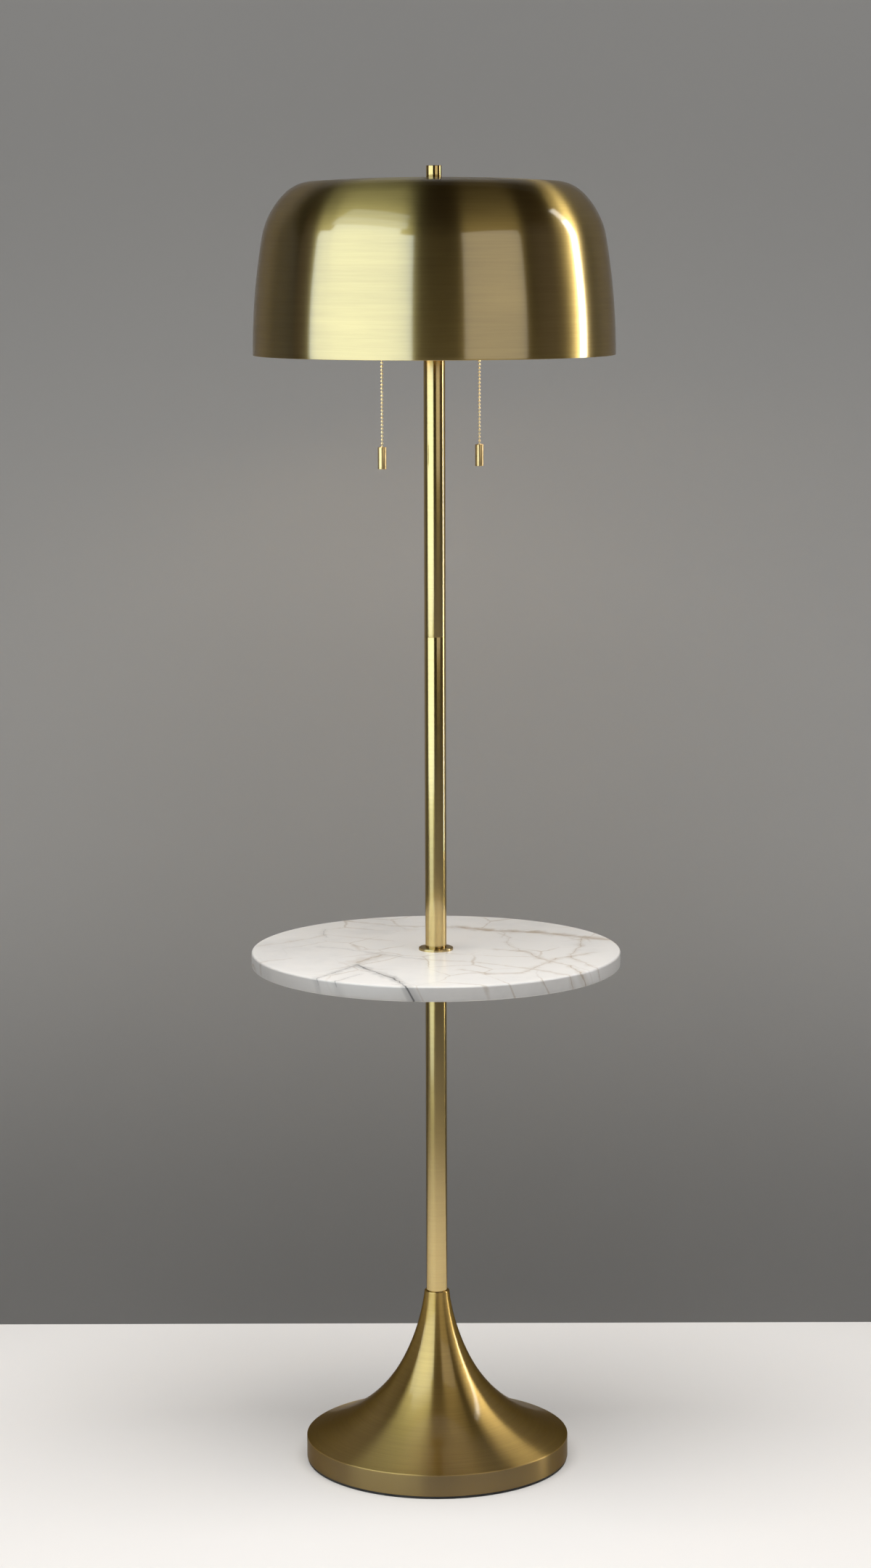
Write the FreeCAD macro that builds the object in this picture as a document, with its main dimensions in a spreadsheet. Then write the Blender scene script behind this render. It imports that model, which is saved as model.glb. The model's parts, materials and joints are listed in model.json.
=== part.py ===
import FreeCAD, Part

import math
import os
import re

import Sketcher
from FreeCAD import Vector

# Floor lamp with a round stone table. Millimetres, +Z up.
# The origin is on the floor, on the axis of the pole. The front of the lamp faces -Y.
# A heavy trumpet base carries a pole of three tubes. The table sits between the lower and the
# middle tube. A cluster on the upper tube holds two level sockets, each with a pull chain, and a
# stem rises from it to the shade and the finial.

# Driving dimensions, in millimetres and degrees.
SIZES = {
    # base
    "pad_thickness": 3.0,
    "pad_inset": 0.8,
    "base_radius": 157.0,
    "skirt_height": 26.0,
    "cover_wall": 1.2,
    "neck_radius": 14.8,
    "neck_rounding": 1.2,
    "lip_depth": 4.0,
    "flare_start_angle": 7.0,
    "flare_upper_angle": 27.2,
    "flare_middle_angle": 62.7,
    "flare_rim_angle": 71.3,
    "flare_upper_bend": 252.0,
    "flare_middle_bend": 171.5,
    "weight_gap": 0.3,
    "weight_height": 14.0,
    "boss_radius": 32.0,
    "boss_height": 8.0,
    "recess_radius": 20.0,
    "recess_depth": 8.0,
    "riser_wall": 1.5,
    "bushing_radius": 3.9,
    "bushing_bore_radius": 2.6,
    "bushing_flange_radius": 5.0,
    "bushing_flange_thickness": 1.2,
    "bushing_clearance": 0.1,
    # rods, nuts, plugs
    "rod_radius": 5.15,
    "rod_bore_radius": 3.5,
    "thread_clearance": 0.05,
    "nut_width": 15.0,
    "nut_height": 5.0,
    "washer_radius": 14.0,
    "washer_thickness": 1.5,
    "plug_height": 16.0,
    "plug_clearance": 0.05,
    "foot_flange_radius": 14.0,
    "foot_flange_thickness": 2.5,
    # pole
    "pole_radius": 12.5,
    "pole_wall": 1.2,
    "pole_clearance": 0.15,
    "pole_sink": 30.0,
    "seam_height": 994.0,
    # table
    "table_height": 622.0,
    "table_thickness": 18.0,
    "table_radius": 218.0,
    "table_rounding": 2.5,
    "table_bore_radius": 7.0,
    "cushion_thickness": 1.5,
    "flange_radius": 45.0,
    "flange_thickness": 3.0,
    "flange_hub_radius": 15.5,
    "flange_hub_height": 12.0,
    "collar_radius": 20.25,
    "collar_thickness": 3.0,
    "collar_rounding": 1.0,
    "collar_seat_depth": 0.5,
    "collar_seat_clearance": 0.25,
    # cluster and stem
    "socket_height": 1394.0,
    "cluster_radius": 22.0,
    "cluster_height": 34.0,
    "cluster_wall": 1.5,
    "cluster_floor": 3.0,
    "cluster_lid": 3.0,
    "cluster_rounding": 1.5,
    "seat_washer_radius": 16.0,
    "seat_washer_thickness": 2.0,
    # shade and finial
    "shade_top": 1523.0,
    "shade_height": 202.0,
    "shade_radius": 209.5,
    "shade_wall": 1.0,
    "shade_seat_radius": 18.0,
    "shade_lean": 11.5,
    "shade_crown_angle": 4.0,
    "shade_shoulder_angle": 44.7,
    "shade_wall_angle": 80.1,
    "shade_upper_bend": 48.3,
    "shade_lower_bend": 93.3,
    "finial_radius": 9.0,
    "finial_height": 13.5,
    "finial_chamfer": 0.6,
    "finial_depth": 9.5,
    # sockets
    "side_turn": 26.0,
    "chain_reach_left": 67.2,
    "chain_reach_right": 58.1,
    "guide_offset": 26.0,
    "socket_radius": 17.5,
    "socket_wall": 0.8,
    "socket_cap_length": 18.0,
    "socket_cap_bend": 8.0,
    "shell_lap": 3.0,
    "shell_length": 45.0,
    "shell_wall": 0.6,
    "insulator_length": 21.0,
    "insulator_gap": 0.15,
    "screw_shell_wall": 0.5,
    "screw_shell_length": 21.0,
    "contact_radius": 4.0,
    "contact_height": 2.0,
    # bulbs
    "bulb_radius": 30.0,
    "bulb_length": 108.5,
    "bulb_neck_length": 7.0,
    "bulb_wall": 0.9,
    "bulb_cap_radius": 13.1,
    "bulb_cap_length": 25.0,
    "bulb_tip_length": 7.0,
    "bulb_clearance": 0.25,
    # pull chains
    "guide_radius": 3.6,
    "guide_bore_radius": 2.4,
    "guide_mouth": 1.2,
    "guide_drop": 7.4,
    "guide_sink": 2.4,
    "plunger_clearance": 0.3,
    "plunger_reach": 1.2,
    "plunger_length": 13.0,
    "pull_travel": 8.0,
    "bead_radius": 1.6,
    "bead_pitch": 4.18,
    "bead_count": 37,
    "wire_radius": 0.5,
    "bead_clearance": 0.35,
    "knob_radius": 5.0,
    "knob_length": 25.4,
    "knob_chamfer": 0.4,
}

# Places and sizes that follow from the driving dimensions.
LEVELS = {
    # trumpet cover, in its own frame with the lower edge of the skirt at zero
    "flare_upper_reach": "neck_radius + flare_upper_bend * (cos(flare_start_angle * 1 deg)"
                         " - cos(flare_upper_angle * 1 deg))",
    "flare_middle_reach": "flare_upper_reach + flare_middle_bend * (cos(flare_upper_angle * 1 deg)"
                          " - cos(flare_middle_angle * 1 deg))",
    "flare_rim_bend": "(base_radius - flare_middle_reach) / (cos(flare_middle_angle * 1 deg)"
                      " - cos(flare_rim_angle * 1 deg))",
    "flare_middle_level": "skirt_height + flare_rim_bend * (sin(flare_rim_angle * 1 deg)"
                          " - sin(flare_middle_angle * 1 deg))",
    "flare_upper_level": "flare_middle_level + flare_middle_bend * (sin(flare_middle_angle * 1 deg)"
                         " - sin(flare_upper_angle * 1 deg))",
    "flare_start_level": "flare_upper_level + flare_upper_bend * (sin(flare_upper_angle * 1 deg)"
                         " - sin(flare_start_angle * 1 deg))",
    "neck_level": "flare_start_level + neck_rounding",
    "rim_inner_cosine": "cos(flare_middle_angle * 1 deg) - (base_radius - cover_wall"
                        " - flare_middle_reach + cover_wall * cos(flare_middle_angle * 1 deg))"
                        " / (flare_rim_bend + cover_wall)",
    "rim_inner_level": "flare_middle_level - cover_wall * sin(flare_middle_angle * 1 deg)"
                       " - (flare_rim_bend + cover_wall) * (sqrt(1 - rim_inner_cosine ^ 2)"
                       " - sin(flare_middle_angle * 1 deg))",
    # base
    "bushing_level": "weight_height + bushing_flange_radius + weight_gap",
    "boss_level": "pad_thickness + weight_height + boss_height",
    "recess_level": "pad_thickness + recess_depth",
    "foot_level": "pad_thickness + neck_level - pole_sink",
    "rod_hole_radius": "rod_radius + thread_clearance",
    "plug_radius": "pole_radius - pole_wall - plug_clearance",
    # table
    "table_underside": "table_height - table_thickness",
    "cushion_level": "table_underside - cushion_thickness",
    "flange_level": "cushion_level - flange_thickness",
    "collar_level": "table_height + collar_thickness",
    # cluster and shade
    "cluster_level": "socket_height - cluster_height / 2",
    "lid_level": "cluster_level + cluster_height - cluster_lid",
    "stem_level": "cluster_level - plug_height + 2 * thread_clearance",
    "stem_top": "shade_top + finial_depth - 0.5 * finial_chamfer",
    "seat_level": "shade_top - shade_wall - seat_washer_thickness",
    "shade_rim": "shade_top - shade_height",
    "shade_wall_reach": "shade_radius - shade_lean",
    "shade_shoulder_reach": "shade_wall_reach - shade_lower_bend * (sin(shade_wall_angle * 1 deg)"
                            " - sin(shade_shoulder_angle * 1 deg))",
    "shade_crown_reach": "shade_shoulder_reach - shade_upper_bend"
                         " * (sin(shade_shoulder_angle * 1 deg) - sin(shade_crown_angle * 1 deg))",
    "shade_crown_bend": "(shade_crown_reach - shade_seat_radius) / sin(shade_crown_angle * 1 deg)",
    "shade_crown_drop": "shade_crown_bend * (1 - cos(shade_crown_angle * 1 deg))",
    "shade_shoulder_drop": "shade_crown_drop + shade_upper_bend * (cos(shade_crown_angle * 1 deg)"
                           " - cos(shade_shoulder_angle * 1 deg))",
    "shade_wall_drop": "shade_shoulder_drop + shade_lower_bend"
                       " * (cos(shade_shoulder_angle * 1 deg) - cos(shade_wall_angle * 1 deg))",
    "shade_wall_bend": "(shade_lean ^ 2 + (shade_height - shade_wall_drop) ^ 2)"
                       " / (2 * ((shade_height - shade_wall_drop) * cos(shade_wall_angle * 1 deg)"
                       " - shade_lean * sin(shade_wall_angle * 1 deg)))",
    # sockets and bulbs, along the axis of the socket from the back of its cap
    "shell_start": "socket_cap_length - shell_lap",
    "shell_radius": "socket_radius - socket_wall - thread_clearance",
    "insulator_radius": "shell_radius - shell_wall - insulator_gap",
    "insulator_front": "shell_start + insulator_length",
    "contact_front": "insulator_front + contact_height",
    "screw_shell_radius": "bulb_cap_radius + bulb_clearance + screw_shell_wall",
    "glass_start": "contact_front + bulb_cap_length",
    "bulb_run": "bulb_length - bulb_radius - bulb_cap_length - bulb_neck_length",
    "bulb_shoulder_bend": "(bulb_run ^ 2 / (bulb_radius - bulb_cap_radius)"
                          " - (bulb_radius + bulb_cap_radius)) / 2",
    "bulb_shoulder_share": "bulb_run / (bulb_radius + bulb_shoulder_bend)",
    "bulb_shoulder_rise": "(bulb_cap_radius + bulb_shoulder_bend)"
                          " / (bulb_radius + bulb_shoulder_bend)",
    "bulb_centre": "bulb_length - bulb_cap_length - bulb_radius",
    # pull chains
    "guide_level": "socket_height - shell_radius - guide_drop",
    "guide_top": "socket_height - insulator_radius + guide_sink",
    "plunger_level": "guide_level - plunger_reach",
    "chain_top": "plunger_level - bead_clearance - bead_radius",
    "knob_top": "chain_top - (bead_count - 1) * bead_pitch",
}

BEAD_SIDES = 8
NUT_SIDES = 6
RIGHT_TURN = "side_turn"
SIDES = {"left": f"{RIGHT_TURN} + 180", "right": RIGHT_TURN}


def full_names(text):
    """The formula with each size and level written with the name of its sheet."""

    def full_name(found):
        word = found.group(0)
        for sheet, words in (("Sizes", SIZES), ("Levels", LEVELS)):
            if word in words:
                return f"{sheet}.{word}"
        return word

    return re.sub(r"[a-z_]+", full_name, text)


document = FreeCAD.newDocument("FloorLampWithTable")


def fill_sheet(name, cells):
    sheet = document.addObject("Spreadsheet::Sheet", name)
    for row, (alias, content) in enumerate(cells.items(), 1):
        sheet.set(f"A{row}", alias)
        sheet.set(f"B{row}", content)
        sheet.setAlias(f"B{row}", alias)
    document.recompute()
    return sheet


sizes = fill_sheet("Sizes", {name: str(size) for name, size in SIZES.items()})
levels = fill_sheet("Levels", {name: "=" + full_names(text) for name, text in LEVELS.items()})
pieces = []


def value(text):
    """The number that a formula gives now."""
    result = levels.evalExpression(full_names(text))
    return float(getattr(result, "Value", result))


def bind(piece, field, text):
    piece.setExpression(field, full_names(text))


def arc_between(start, end, radius):
    """The short arc between two points of an outline. A negative radius turns clockwise."""
    chord = end - start
    side = Vector(-chord.y, chord.x, 0).normalize() * math.copysign(1, radius)
    rise = math.sqrt(max(radius ** 2 - (chord.Length / 2) ** 2, 0))
    centre = start + chord / 2 + side * rise
    return Part.Arc(start, centre - side * abs(radius), end)


def draw_outline(body, name, points, plane="XZ_Plane"):
    """A closed outline through points (x, y) or (x, y, radius of the arc that leads there)."""
    sketch = body.newObject("Sketcher::SketchObject", name)
    sketch.AttachmentSupport = [(role_plane(body, plane), "")]
    sketch.MapMode = "FlatFace"
    spots = [Vector(value(point[0]), value(point[1]), 0) for point in points]
    for index, point in enumerate(points):
        start, end = spots[index - 1], spots[index]
        if len(point) == 3:
            sketch.addGeometry(arc_between(start, end, value(point[2])), False)
        else:
            sketch.addGeometry(Part.LineSegment(start, end), False)
    ends = []
    for index in range(len(points)):
        first = sketch.getPoint(index, 1)
        backwards = first.distanceToPoint(spots[index]) < first.distanceToPoint(spots[index - 1])
        ends.append((2, 1) if backwards else (1, 2))
    for index, point in enumerate(points):
        following = (index + 1) % len(points)
        corner = ends[index][1]
        sketch.addConstraint(
            Sketcher.Constraint("Coincident", index, corner, following, ends[following][0])
        )
        for direction, text in (("DistanceX", point[0]), ("DistanceY", point[1])):
            place = Sketcher.Constraint(direction, -1, 1, index, corner, value(text))
            bind(sketch, f"Constraints[{sketch.addConstraint(place)}]", text)
        if len(point) == 3:
            size = point[2].lstrip("-")
            bend = Sketcher.Constraint("Radius", index, value(size))
            bind(sketch, f"Constraints[{sketch.addConstraint(bend)}]", size)
    return sketch


def draw_circle(body, name, plane, x, y, radius):
    sketch = body.newObject("Sketcher::SketchObject", name)
    sketch.AttachmentSupport = [(role_plane(body, plane), "")]
    sketch.MapMode = "FlatFace"
    centre = Vector(value(x), value(y), 0)
    sketch.addGeometry(Part.Circle(centre, Vector(0, 0, 1), value(radius)), False)
    for kind, text in (("DistanceX", x), ("DistanceY", y)):
        place = Sketcher.Constraint(kind, -1, 1, 0, 3, value(text))
        bind(sketch, f"Constraints[{sketch.addConstraint(place)}]", text)
    bend = Sketcher.Constraint("Radius", 0, value(radius))
    bind(sketch, f"Constraints[{sketch.addConstraint(bend)}]", radius)
    return sketch


def role_plane(body, role):
    return next(feature for feature in body.Origin.OriginFeatures if feature.Role == role)


def new_body(label):
    body = document.addObject("PartDesign::Body", "Body_" + label)
    body.Label = label
    pieces.append(body)
    return body


def place(body, x="0", y="0", z="0", turn="rotationz(0 deg)"):
    bind(body, "Placement", f"placement(vector({x}; {y}; {z}); {turn})")


def turned(label, outline, level="0"):
    """A piece turned about the pole's axis, its own zero at the given level."""
    body = new_body(label)
    sketch = draw_outline(body, "Outline_" + label, outline)
    feature = body.newObject("PartDesign::Revolution", "Turning_" + label)
    feature.Profile = sketch
    feature.ReferenceAxis = (sketch, ["V_Axis"])
    feature.Angle = 360
    sketch.Visibility = False
    place(body, z=level)
    return body


def drill(body, name, plane, x, y, radius, reverse=False, both_ways=False, start="0"):
    """A round hole from one of the body's own planes through everything on that side."""
    document.recompute()
    before = body.Shape.Volume
    sketch = draw_circle(body, name + "_circle", plane, x, y, radius)
    bind(sketch, "AttachmentOffset.Base.z", start)
    hole = body.newObject("PartDesign::Pocket", name)
    hole.Profile = sketch
    hole.Type = "ThroughAll"
    hole.Reversed = reverse
    hole.Midplane = both_ways
    document.recompute()
    if body.Shape.Volume >= before:
        raise RuntimeError(f"{name} cuts nothing")
    return hole


def tube_outline(outer, inner, length):
    return [(inner, "0"), (outer, "0"), (outer, length), (inner, length)]


def disc_outline(radius, thickness):
    return [("0", "0"), (radius, "0"), (radius, thickness), ("0", thickness)]


def rod(label, start, end):
    """A hollow threaded rod on the pole's axis between two levels."""
    turned(label, tube_outline("rod_radius", "rod_bore_radius", f"({end}) - ({start})"), start)


def plug(label, level):
    """A threaded plug inside the end of a pole tube."""
    turned(label, tube_outline("plug_radius", "rod_hole_radius", "plug_height"), level)


def nut(label, level):
    body = new_body(label)
    corner = f"(nut_width / 2 / cos({180 / NUT_SIDES} deg))"
    angles = [360 / NUT_SIDES * side for side in range(NUT_SIDES)]
    corners = [(f"{corner} * cos({turn} deg)", f"{corner} * sin({turn} deg)") for turn in angles]
    pad = body.newObject("PartDesign::Pad", "Height_" + label)
    pad.Profile = draw_outline(body, "Hexagon_" + label, corners, "XY_Plane")
    bind(pad, "Length", "nut_height")
    drill(body, "Thread_" + label, "XY_Plane", "0", "0", "rod_hole_radius", reverse=True)
    place(body, z=level)


# Base


def base_cover():
    """The spun trumpet: a skirt, three hollow arcs of even wall, and a lip round the pole."""
    arcs = [
        ("flare_rim", "flare_middle_reach", "flare_middle_level", "flare_middle_angle"),
        ("flare_middle", "flare_upper_reach", "flare_upper_level", "flare_upper_angle"),
        ("flare_upper", "neck_radius", "flare_start_level", "flare_start_angle"),
    ]
    outside = [(reach, level, f"-{bend}_bend") for bend, reach, level, _ in arcs]
    inside = [
        (
            f"{reach} - cover_wall * cos({angle} * 1 deg)",
            f"{level} - cover_wall * sin({angle} * 1 deg)",
        )
        for _, reach, level, angle in arcs
    ]
    start = inside.pop()
    upper, middle = inside[1], inside[0]
    hole = "pole_radius + pole_clearance"
    lip = "neck_level - lip_depth"
    outline = [
        ("base_radius - cover_wall", "0"),
        ("base_radius", "0"),
        ("base_radius", "skirt_height"),
        *outside,
        ("neck_radius - neck_rounding", "neck_level", "neck_rounding"),
        (hole, "neck_level"),
        (hole, lip),
        (start[0], lip),
        (*upper, "flare_upper_bend + cover_wall"),
        (*middle, "flare_middle_bend + cover_wall"),
        ("base_radius - cover_wall", "rim_inner_level", "flare_rim_bend + cover_wall"),
    ]
    cover = turned("base_cover", outline, "pad_thickness")
    drill(cover, "Cord_hole", "XZ_Plane", "0", "bushing_level",
          "bushing_radius + bushing_clearance")


def cord_bushing():
    """A flanged sleeve in the hole at the back of the skirt, where the cord enters."""
    back = "-(cover_wall + bushing_clearance)"
    outline = [
        ("bushing_bore_radius", f"{back} - bushing_flange_thickness"),
        ("bushing_flange_radius", f"{back} - bushing_flange_thickness"),
        ("bushing_flange_radius", back),
        ("bushing_radius", back),
        ("bushing_radius", "0"),
        ("bushing_flange_radius", "0"),
        ("bushing_flange_radius", "bushing_flange_thickness"),
        ("bushing_bore_radius", "bushing_flange_thickness"),
    ]
    body = turned("cord_bushing", outline)
    place(body, y="base_radius", z="pad_thickness + bushing_level", turn="rotationx(-90 deg)")


def base():
    turned("base_pad", disc_outline("base_radius - pad_inset", "pad_thickness"))
    weight_radius = "base_radius - cover_wall - weight_gap"
    top = "weight_height + boss_height"
    turned(
        "base_weight",
        [
            ("recess_radius", "0"),
            (weight_radius, "0"),
            (weight_radius, "weight_height"),
            ("boss_radius", "weight_height"),
            ("boss_radius", top),
            ("rod_hole_radius", top),
            ("rod_hole_radius", "recess_depth"),
            ("recess_radius", "recess_depth"),
        ],
        "pad_thickness",
    )
    base_cover()
    cord_bushing()
    riser = "foot_level - foot_flange_thickness - boss_level"
    turned("base_riser", tube_outline("pole_radius", "pole_radius - riser_wall", riser),
           "boss_level")
    washer_level = "recess_level - washer_thickness"
    turned("base_washer", tube_outline("washer_radius", "rod_hole_radius", "washer_thickness"),
           washer_level)
    nut("base_nut", f"{washer_level} - nut_height")
    rod("base_rod", f"{washer_level} - nut_height", "foot_level + plug_height")


# Pole


def pole_foot():
    """The plug of the lower tube, with a flange that stands on the riser."""
    top = "foot_flange_thickness + plug_height"
    outline = [
        ("rod_hole_radius", "0"),
        ("foot_flange_radius", "0"),
        ("foot_flange_radius", "foot_flange_thickness"),
        ("plug_radius", "foot_flange_thickness"),
        ("plug_radius", top),
        ("rod_hole_radius", top),
    ]
    turned("lower_pole_foot", outline, "foot_level - foot_flange_thickness")


def pole_tube(label, start, end):
    turned(label, tube_outline("pole_radius", "pole_radius - pole_wall", f"{end} - {start}"),
           start)


def pole():
    pole_foot()
    pole_tube("lower_pole", "foot_level", "flange_level")
    plug("lower_pole_head", "flange_level - plug_height")
    plug("middle_pole_foot", "collar_level")
    pole_tube("middle_pole", "collar_level", "seam_height")
    plug("middle_pole_head", "seam_height - plug_height")
    plug("upper_pole_foot", "seam_height")
    pole_tube("upper_pole", "seam_height", "cluster_level")
    plug("upper_pole_head", "cluster_level - plug_height")
    rod("table_rod", "flange_level - plug_height", "collar_level + plug_height")
    rod("seam_rod", "seam_height - plug_height", "seam_height + plug_height")


# Table


def table_top():
    """The round stone slab, bored for the rod and spot-faced to seat the collar."""
    body = new_body("table_top")
    slab = body.newObject("PartDesign::Pad", "Slab")
    slab.Profile = draw_circle(body, "Slab_circle", "XY_Plane", "0", "0", "table_radius")
    bind(slab, "Length", "table_thickness")
    document.recompute()
    rims = [
        f"Edge{index}"
        for index, edge in enumerate(slab.Shape.Edges, 1)
        if isinstance(edge.Curve, Part.Circle)
    ]
    rounding = body.newObject("PartDesign::Fillet", "Slab_rounding")
    rounding.Base = (slab, rims)
    bind(rounding, "Radius", "min(table_rounding; table_thickness * 0.45)")
    drill(body, "Slab_bore", "XY_Plane", "0", "0", "table_bore_radius", reverse=True)
    drill(body, "Collar_seat", "XY_Plane", "0", "0", "collar_radius + collar_seat_clearance",
          reverse=True, start="table_thickness - collar_seat_depth")
    place(body, z="table_underside")


def table():
    hub_bore = "pole_radius + pole_clearance"
    turned(
        "table_flange",
        [
            (hub_bore, "-flange_hub_height"),
            ("flange_hub_radius", "-flange_hub_height"),
            ("flange_hub_radius", "0"),
            ("flange_radius", "0"),
            ("flange_radius", "flange_thickness"),
            ("rod_hole_radius", "flange_thickness"),
            ("rod_hole_radius", "0"),
            (hub_bore, "0"),
        ],
        "flange_level",
    )
    turned("table_cushion", tube_outline("flange_radius", "table_bore_radius",
                                         "cushion_thickness"), "cushion_level")
    table_top()
    edge = "collar_thickness - collar_rounding"
    turned(
        "table_collar",
        [
            ("rod_hole_radius", "-collar_seat_depth"),
            ("collar_radius", "-collar_seat_depth"),
            ("collar_radius", edge),
            ("collar_radius - collar_rounding", "collar_thickness", "collar_rounding"),
            ("rod_hole_radius", "collar_thickness"),
        ],
        "table_height",
    )


# Cluster and shade


def cluster():
    """The cup on the pole that the two arms leave, its lid, and the stem to the shade."""
    rim = "cluster_height - cluster_lid"
    inner = "cluster_radius - cluster_wall"
    cup = turned(
        "cluster_cup",
        [
            ("rod_hole_radius", "0"),
            ("cluster_radius - cluster_rounding", "0"),
            ("cluster_radius", "cluster_rounding", "cluster_rounding"),
            ("cluster_radius", rim),
            (inner, rim),
            (inner, "cluster_floor"),
            ("rod_hole_radius", "cluster_floor"),
        ],
    )
    drill(cup, "Arm_holes", "YZ_Plane", "0", "cluster_height / 2", "rod_hole_radius",
          both_ways=True)
    place(cup, z="cluster_level", turn=f"rotationz({RIGHT_TURN} * 1 deg)")
    edge = "cluster_lid - cluster_rounding"
    turned(
        "cluster_lid",
        [
            ("rod_hole_radius", "0"),
            ("cluster_radius", "0"),
            ("cluster_radius", edge),
            ("cluster_radius - cluster_rounding", "cluster_lid", "cluster_rounding"),
            ("rod_hole_radius", "cluster_lid"),
        ],
        "lid_level",
    )
    nut("cluster_nut", "lid_level + cluster_lid")
    rod("shade_stem", "stem_level", "stem_top")
    nut("seat_nut", "seat_level - nut_height")
    turned("seat_washer", tube_outline("seat_washer_radius", "rod_hole_radius",
                                       "seat_washer_thickness"), "seat_level")


def shade():
    """The spun dome: a near-flat crown, two shoulder arcs and a long wall, of even thickness."""
    arcs = [
        ("shade_crown", "shade_crown_reach", "shade_crown_drop", "shade_crown_angle"),
        ("shade_upper", "shade_shoulder_reach", "shade_shoulder_drop", "shade_shoulder_angle"),
        ("shade_lower", "shade_wall_reach", "shade_wall_drop", "shade_wall_angle"),
    ]
    outside = [
        (reach, f"shade_height - {drop}", f"-{bend}_bend") for bend, reach, drop, _ in arcs
    ]
    inside = [
        (
            f"{reach} - shade_wall * sin({angle} * 1 deg)",
            f"shade_height - {drop} - shade_wall * cos({angle} * 1 deg)",
        )
        for _, reach, drop, angle in arcs
    ]
    crown, shoulder, wall = inside
    outline = [
        ("rod_hole_radius", "shade_height - shade_wall"),
        ("rod_hole_radius", "shade_height"),
        ("shade_seat_radius", "shade_height"),
        *outside,
        ("shade_radius", "0", "-shade_wall_bend"),
        ("shade_radius - shade_wall", "0"),
        (*wall, "shade_wall_bend - shade_wall"),
        (*shoulder, "shade_lower_bend - shade_wall"),
        (*crown, "shade_upper_bend - shade_wall"),
        ("shade_seat_radius", "shade_height - shade_wall", "shade_crown_bend - shade_wall"),
    ]
    turned("shade", outline, "shade_rim")


def finial():
    turned(
        "finial",
        [
            ("rod_hole_radius", "0"),
            ("finial_radius", "0"),
            ("finial_radius", "finial_height - finial_chamfer"),
            ("finial_radius - finial_chamfer", "finial_height"),
            ("0", "finial_height"),
            ("0", "finial_depth"),
            ("rod_hole_radius", "finial_depth"),
        ],
        "shade_top",
    )


# Sockets, bulbs and pull chains, one set on each side


def place_level(body, side, distance):
    """Lays a turned piece level: its own Z points outwards and its own X points down."""
    turn = f"({SIDES[side]}) * 1 deg"
    reach = f"(chain_reach_{side} - guide_offset + {distance})"
    place(
        body,
        x=f"{reach} * cos({turn})",
        y=f"{reach} * sin({turn})",
        z="socket_height",
        turn=f"rotationz({turn}) * rotationy(90 deg)",
    )


def place_hanging(body, side, level):
    """Hangs an upright piece below the socket's pull switch."""
    turn = f"({SIDES[side]}) * 1 deg"
    reach = f"chain_reach_{side}"
    place(body, x=f"{reach} * cos({turn})", y=f"{reach} * sin({turn})", z=level,
          turn=f"rotationz({turn})")


def arm(side):
    """The hollow arm from inside the cluster's wall to inside the socket's cap."""
    start = "(cluster_radius - 2 * cluster_wall)"
    socket_start = f"(chain_reach_{side} - guide_offset)"
    length = f"{socket_start} - {start} + shell_lap"
    body = turned(f"arm_{side}", tube_outline("rod_radius", "rod_bore_radius", length))
    place_level(body, side, f"{start} - {socket_start}")


def socket_cap(side):
    inner = "socket_radius - socket_wall"
    flat = "socket_radius - socket_cap_bend"
    outline = [
        ("rod_hole_radius", "0"),
        (flat, "0"),
        ("socket_radius", "socket_cap_bend", "socket_cap_bend"),
        ("socket_radius", "socket_cap_length"),
        (inner, "socket_cap_length"),
        (inner, "socket_cap_bend"),
        (flat, "socket_wall", "-(socket_cap_bend - socket_wall)"),
        ("rod_hole_radius", "socket_wall"),
    ]
    place_level(turned(f"socket_cap_{side}", outline), side, "0")


def socket_shell(side):
    outline = tube_outline("shell_radius", "shell_radius - shell_wall", "shell_length")
    body = turned(f"socket_shell_{side}", outline)
    drill(body, f"Guide_hole_{side}", "YZ_Plane", "0", "guide_offset - shell_start",
          "guide_radius + thread_clearance", reverse=True)
    place_level(body, side, "shell_start")


def socket_insulator(side):
    body = turned(f"socket_insulator_{side}", disc_outline("insulator_radius",
                                                           "insulator_length"))
    floor = "insulator_radius - guide_sink - pull_travel"
    drill(body, f"Switch_hole_{side}", "YZ_Plane", "0", "guide_offset - shell_start",
          "guide_radius + thread_clearance", reverse=True, start=floor)
    place_level(body, side, "shell_start")


def socket_contacts(side):
    outline = tube_outline("screw_shell_radius", "screw_shell_radius - screw_shell_wall",
                           "screw_shell_length")
    place_level(turned(f"screw_shell_{side}", outline), side, "insulator_front")
    outline = disc_outline("contact_radius", "contact_height")
    place_level(turned(f"centre_contact_{side}", outline), side, "insulator_front")


def bulb(side):
    """A round bulb with a screw cap: a ball that runs into its neck through a hollow arc."""
    outline = [
        ("0", "0"),
        ("contact_radius", "0"),
        ("bulb_cap_radius", "bulb_tip_length"),
        ("bulb_cap_radius", "bulb_cap_length"),
        ("0", "bulb_cap_length"),
    ]
    place_level(turned(f"bulb_cap_{side}", outline), side, "contact_front")
    ball, hollow = "bulb_radius", "bulb_shoulder_bend"
    inner_ball = "(bulb_radius - bulb_wall)"
    outline = [
        ("bulb_cap_radius - bulb_wall", "0"),
        ("bulb_cap_radius", "0"),
        ("bulb_cap_radius", "bulb_neck_length"),
        (
            f"{ball} * bulb_shoulder_rise",
            f"bulb_centre - {ball} * bulb_shoulder_share",
            f"-{hollow}",
        ),
        ("0", "bulb_centre + bulb_radius", ball),
        ("0", "bulb_centre + bulb_radius - bulb_wall"),
        (
            f"{inner_ball} * bulb_shoulder_rise",
            f"bulb_centre - {inner_ball} * bulb_shoulder_share",
            f"-{inner_ball}",
        ),
        ("bulb_cap_radius - bulb_wall", "bulb_neck_length", f"{hollow} + bulb_wall"),
    ]
    place_level(turned(f"bulb_glass_{side}", outline), side, "glass_start")


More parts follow.
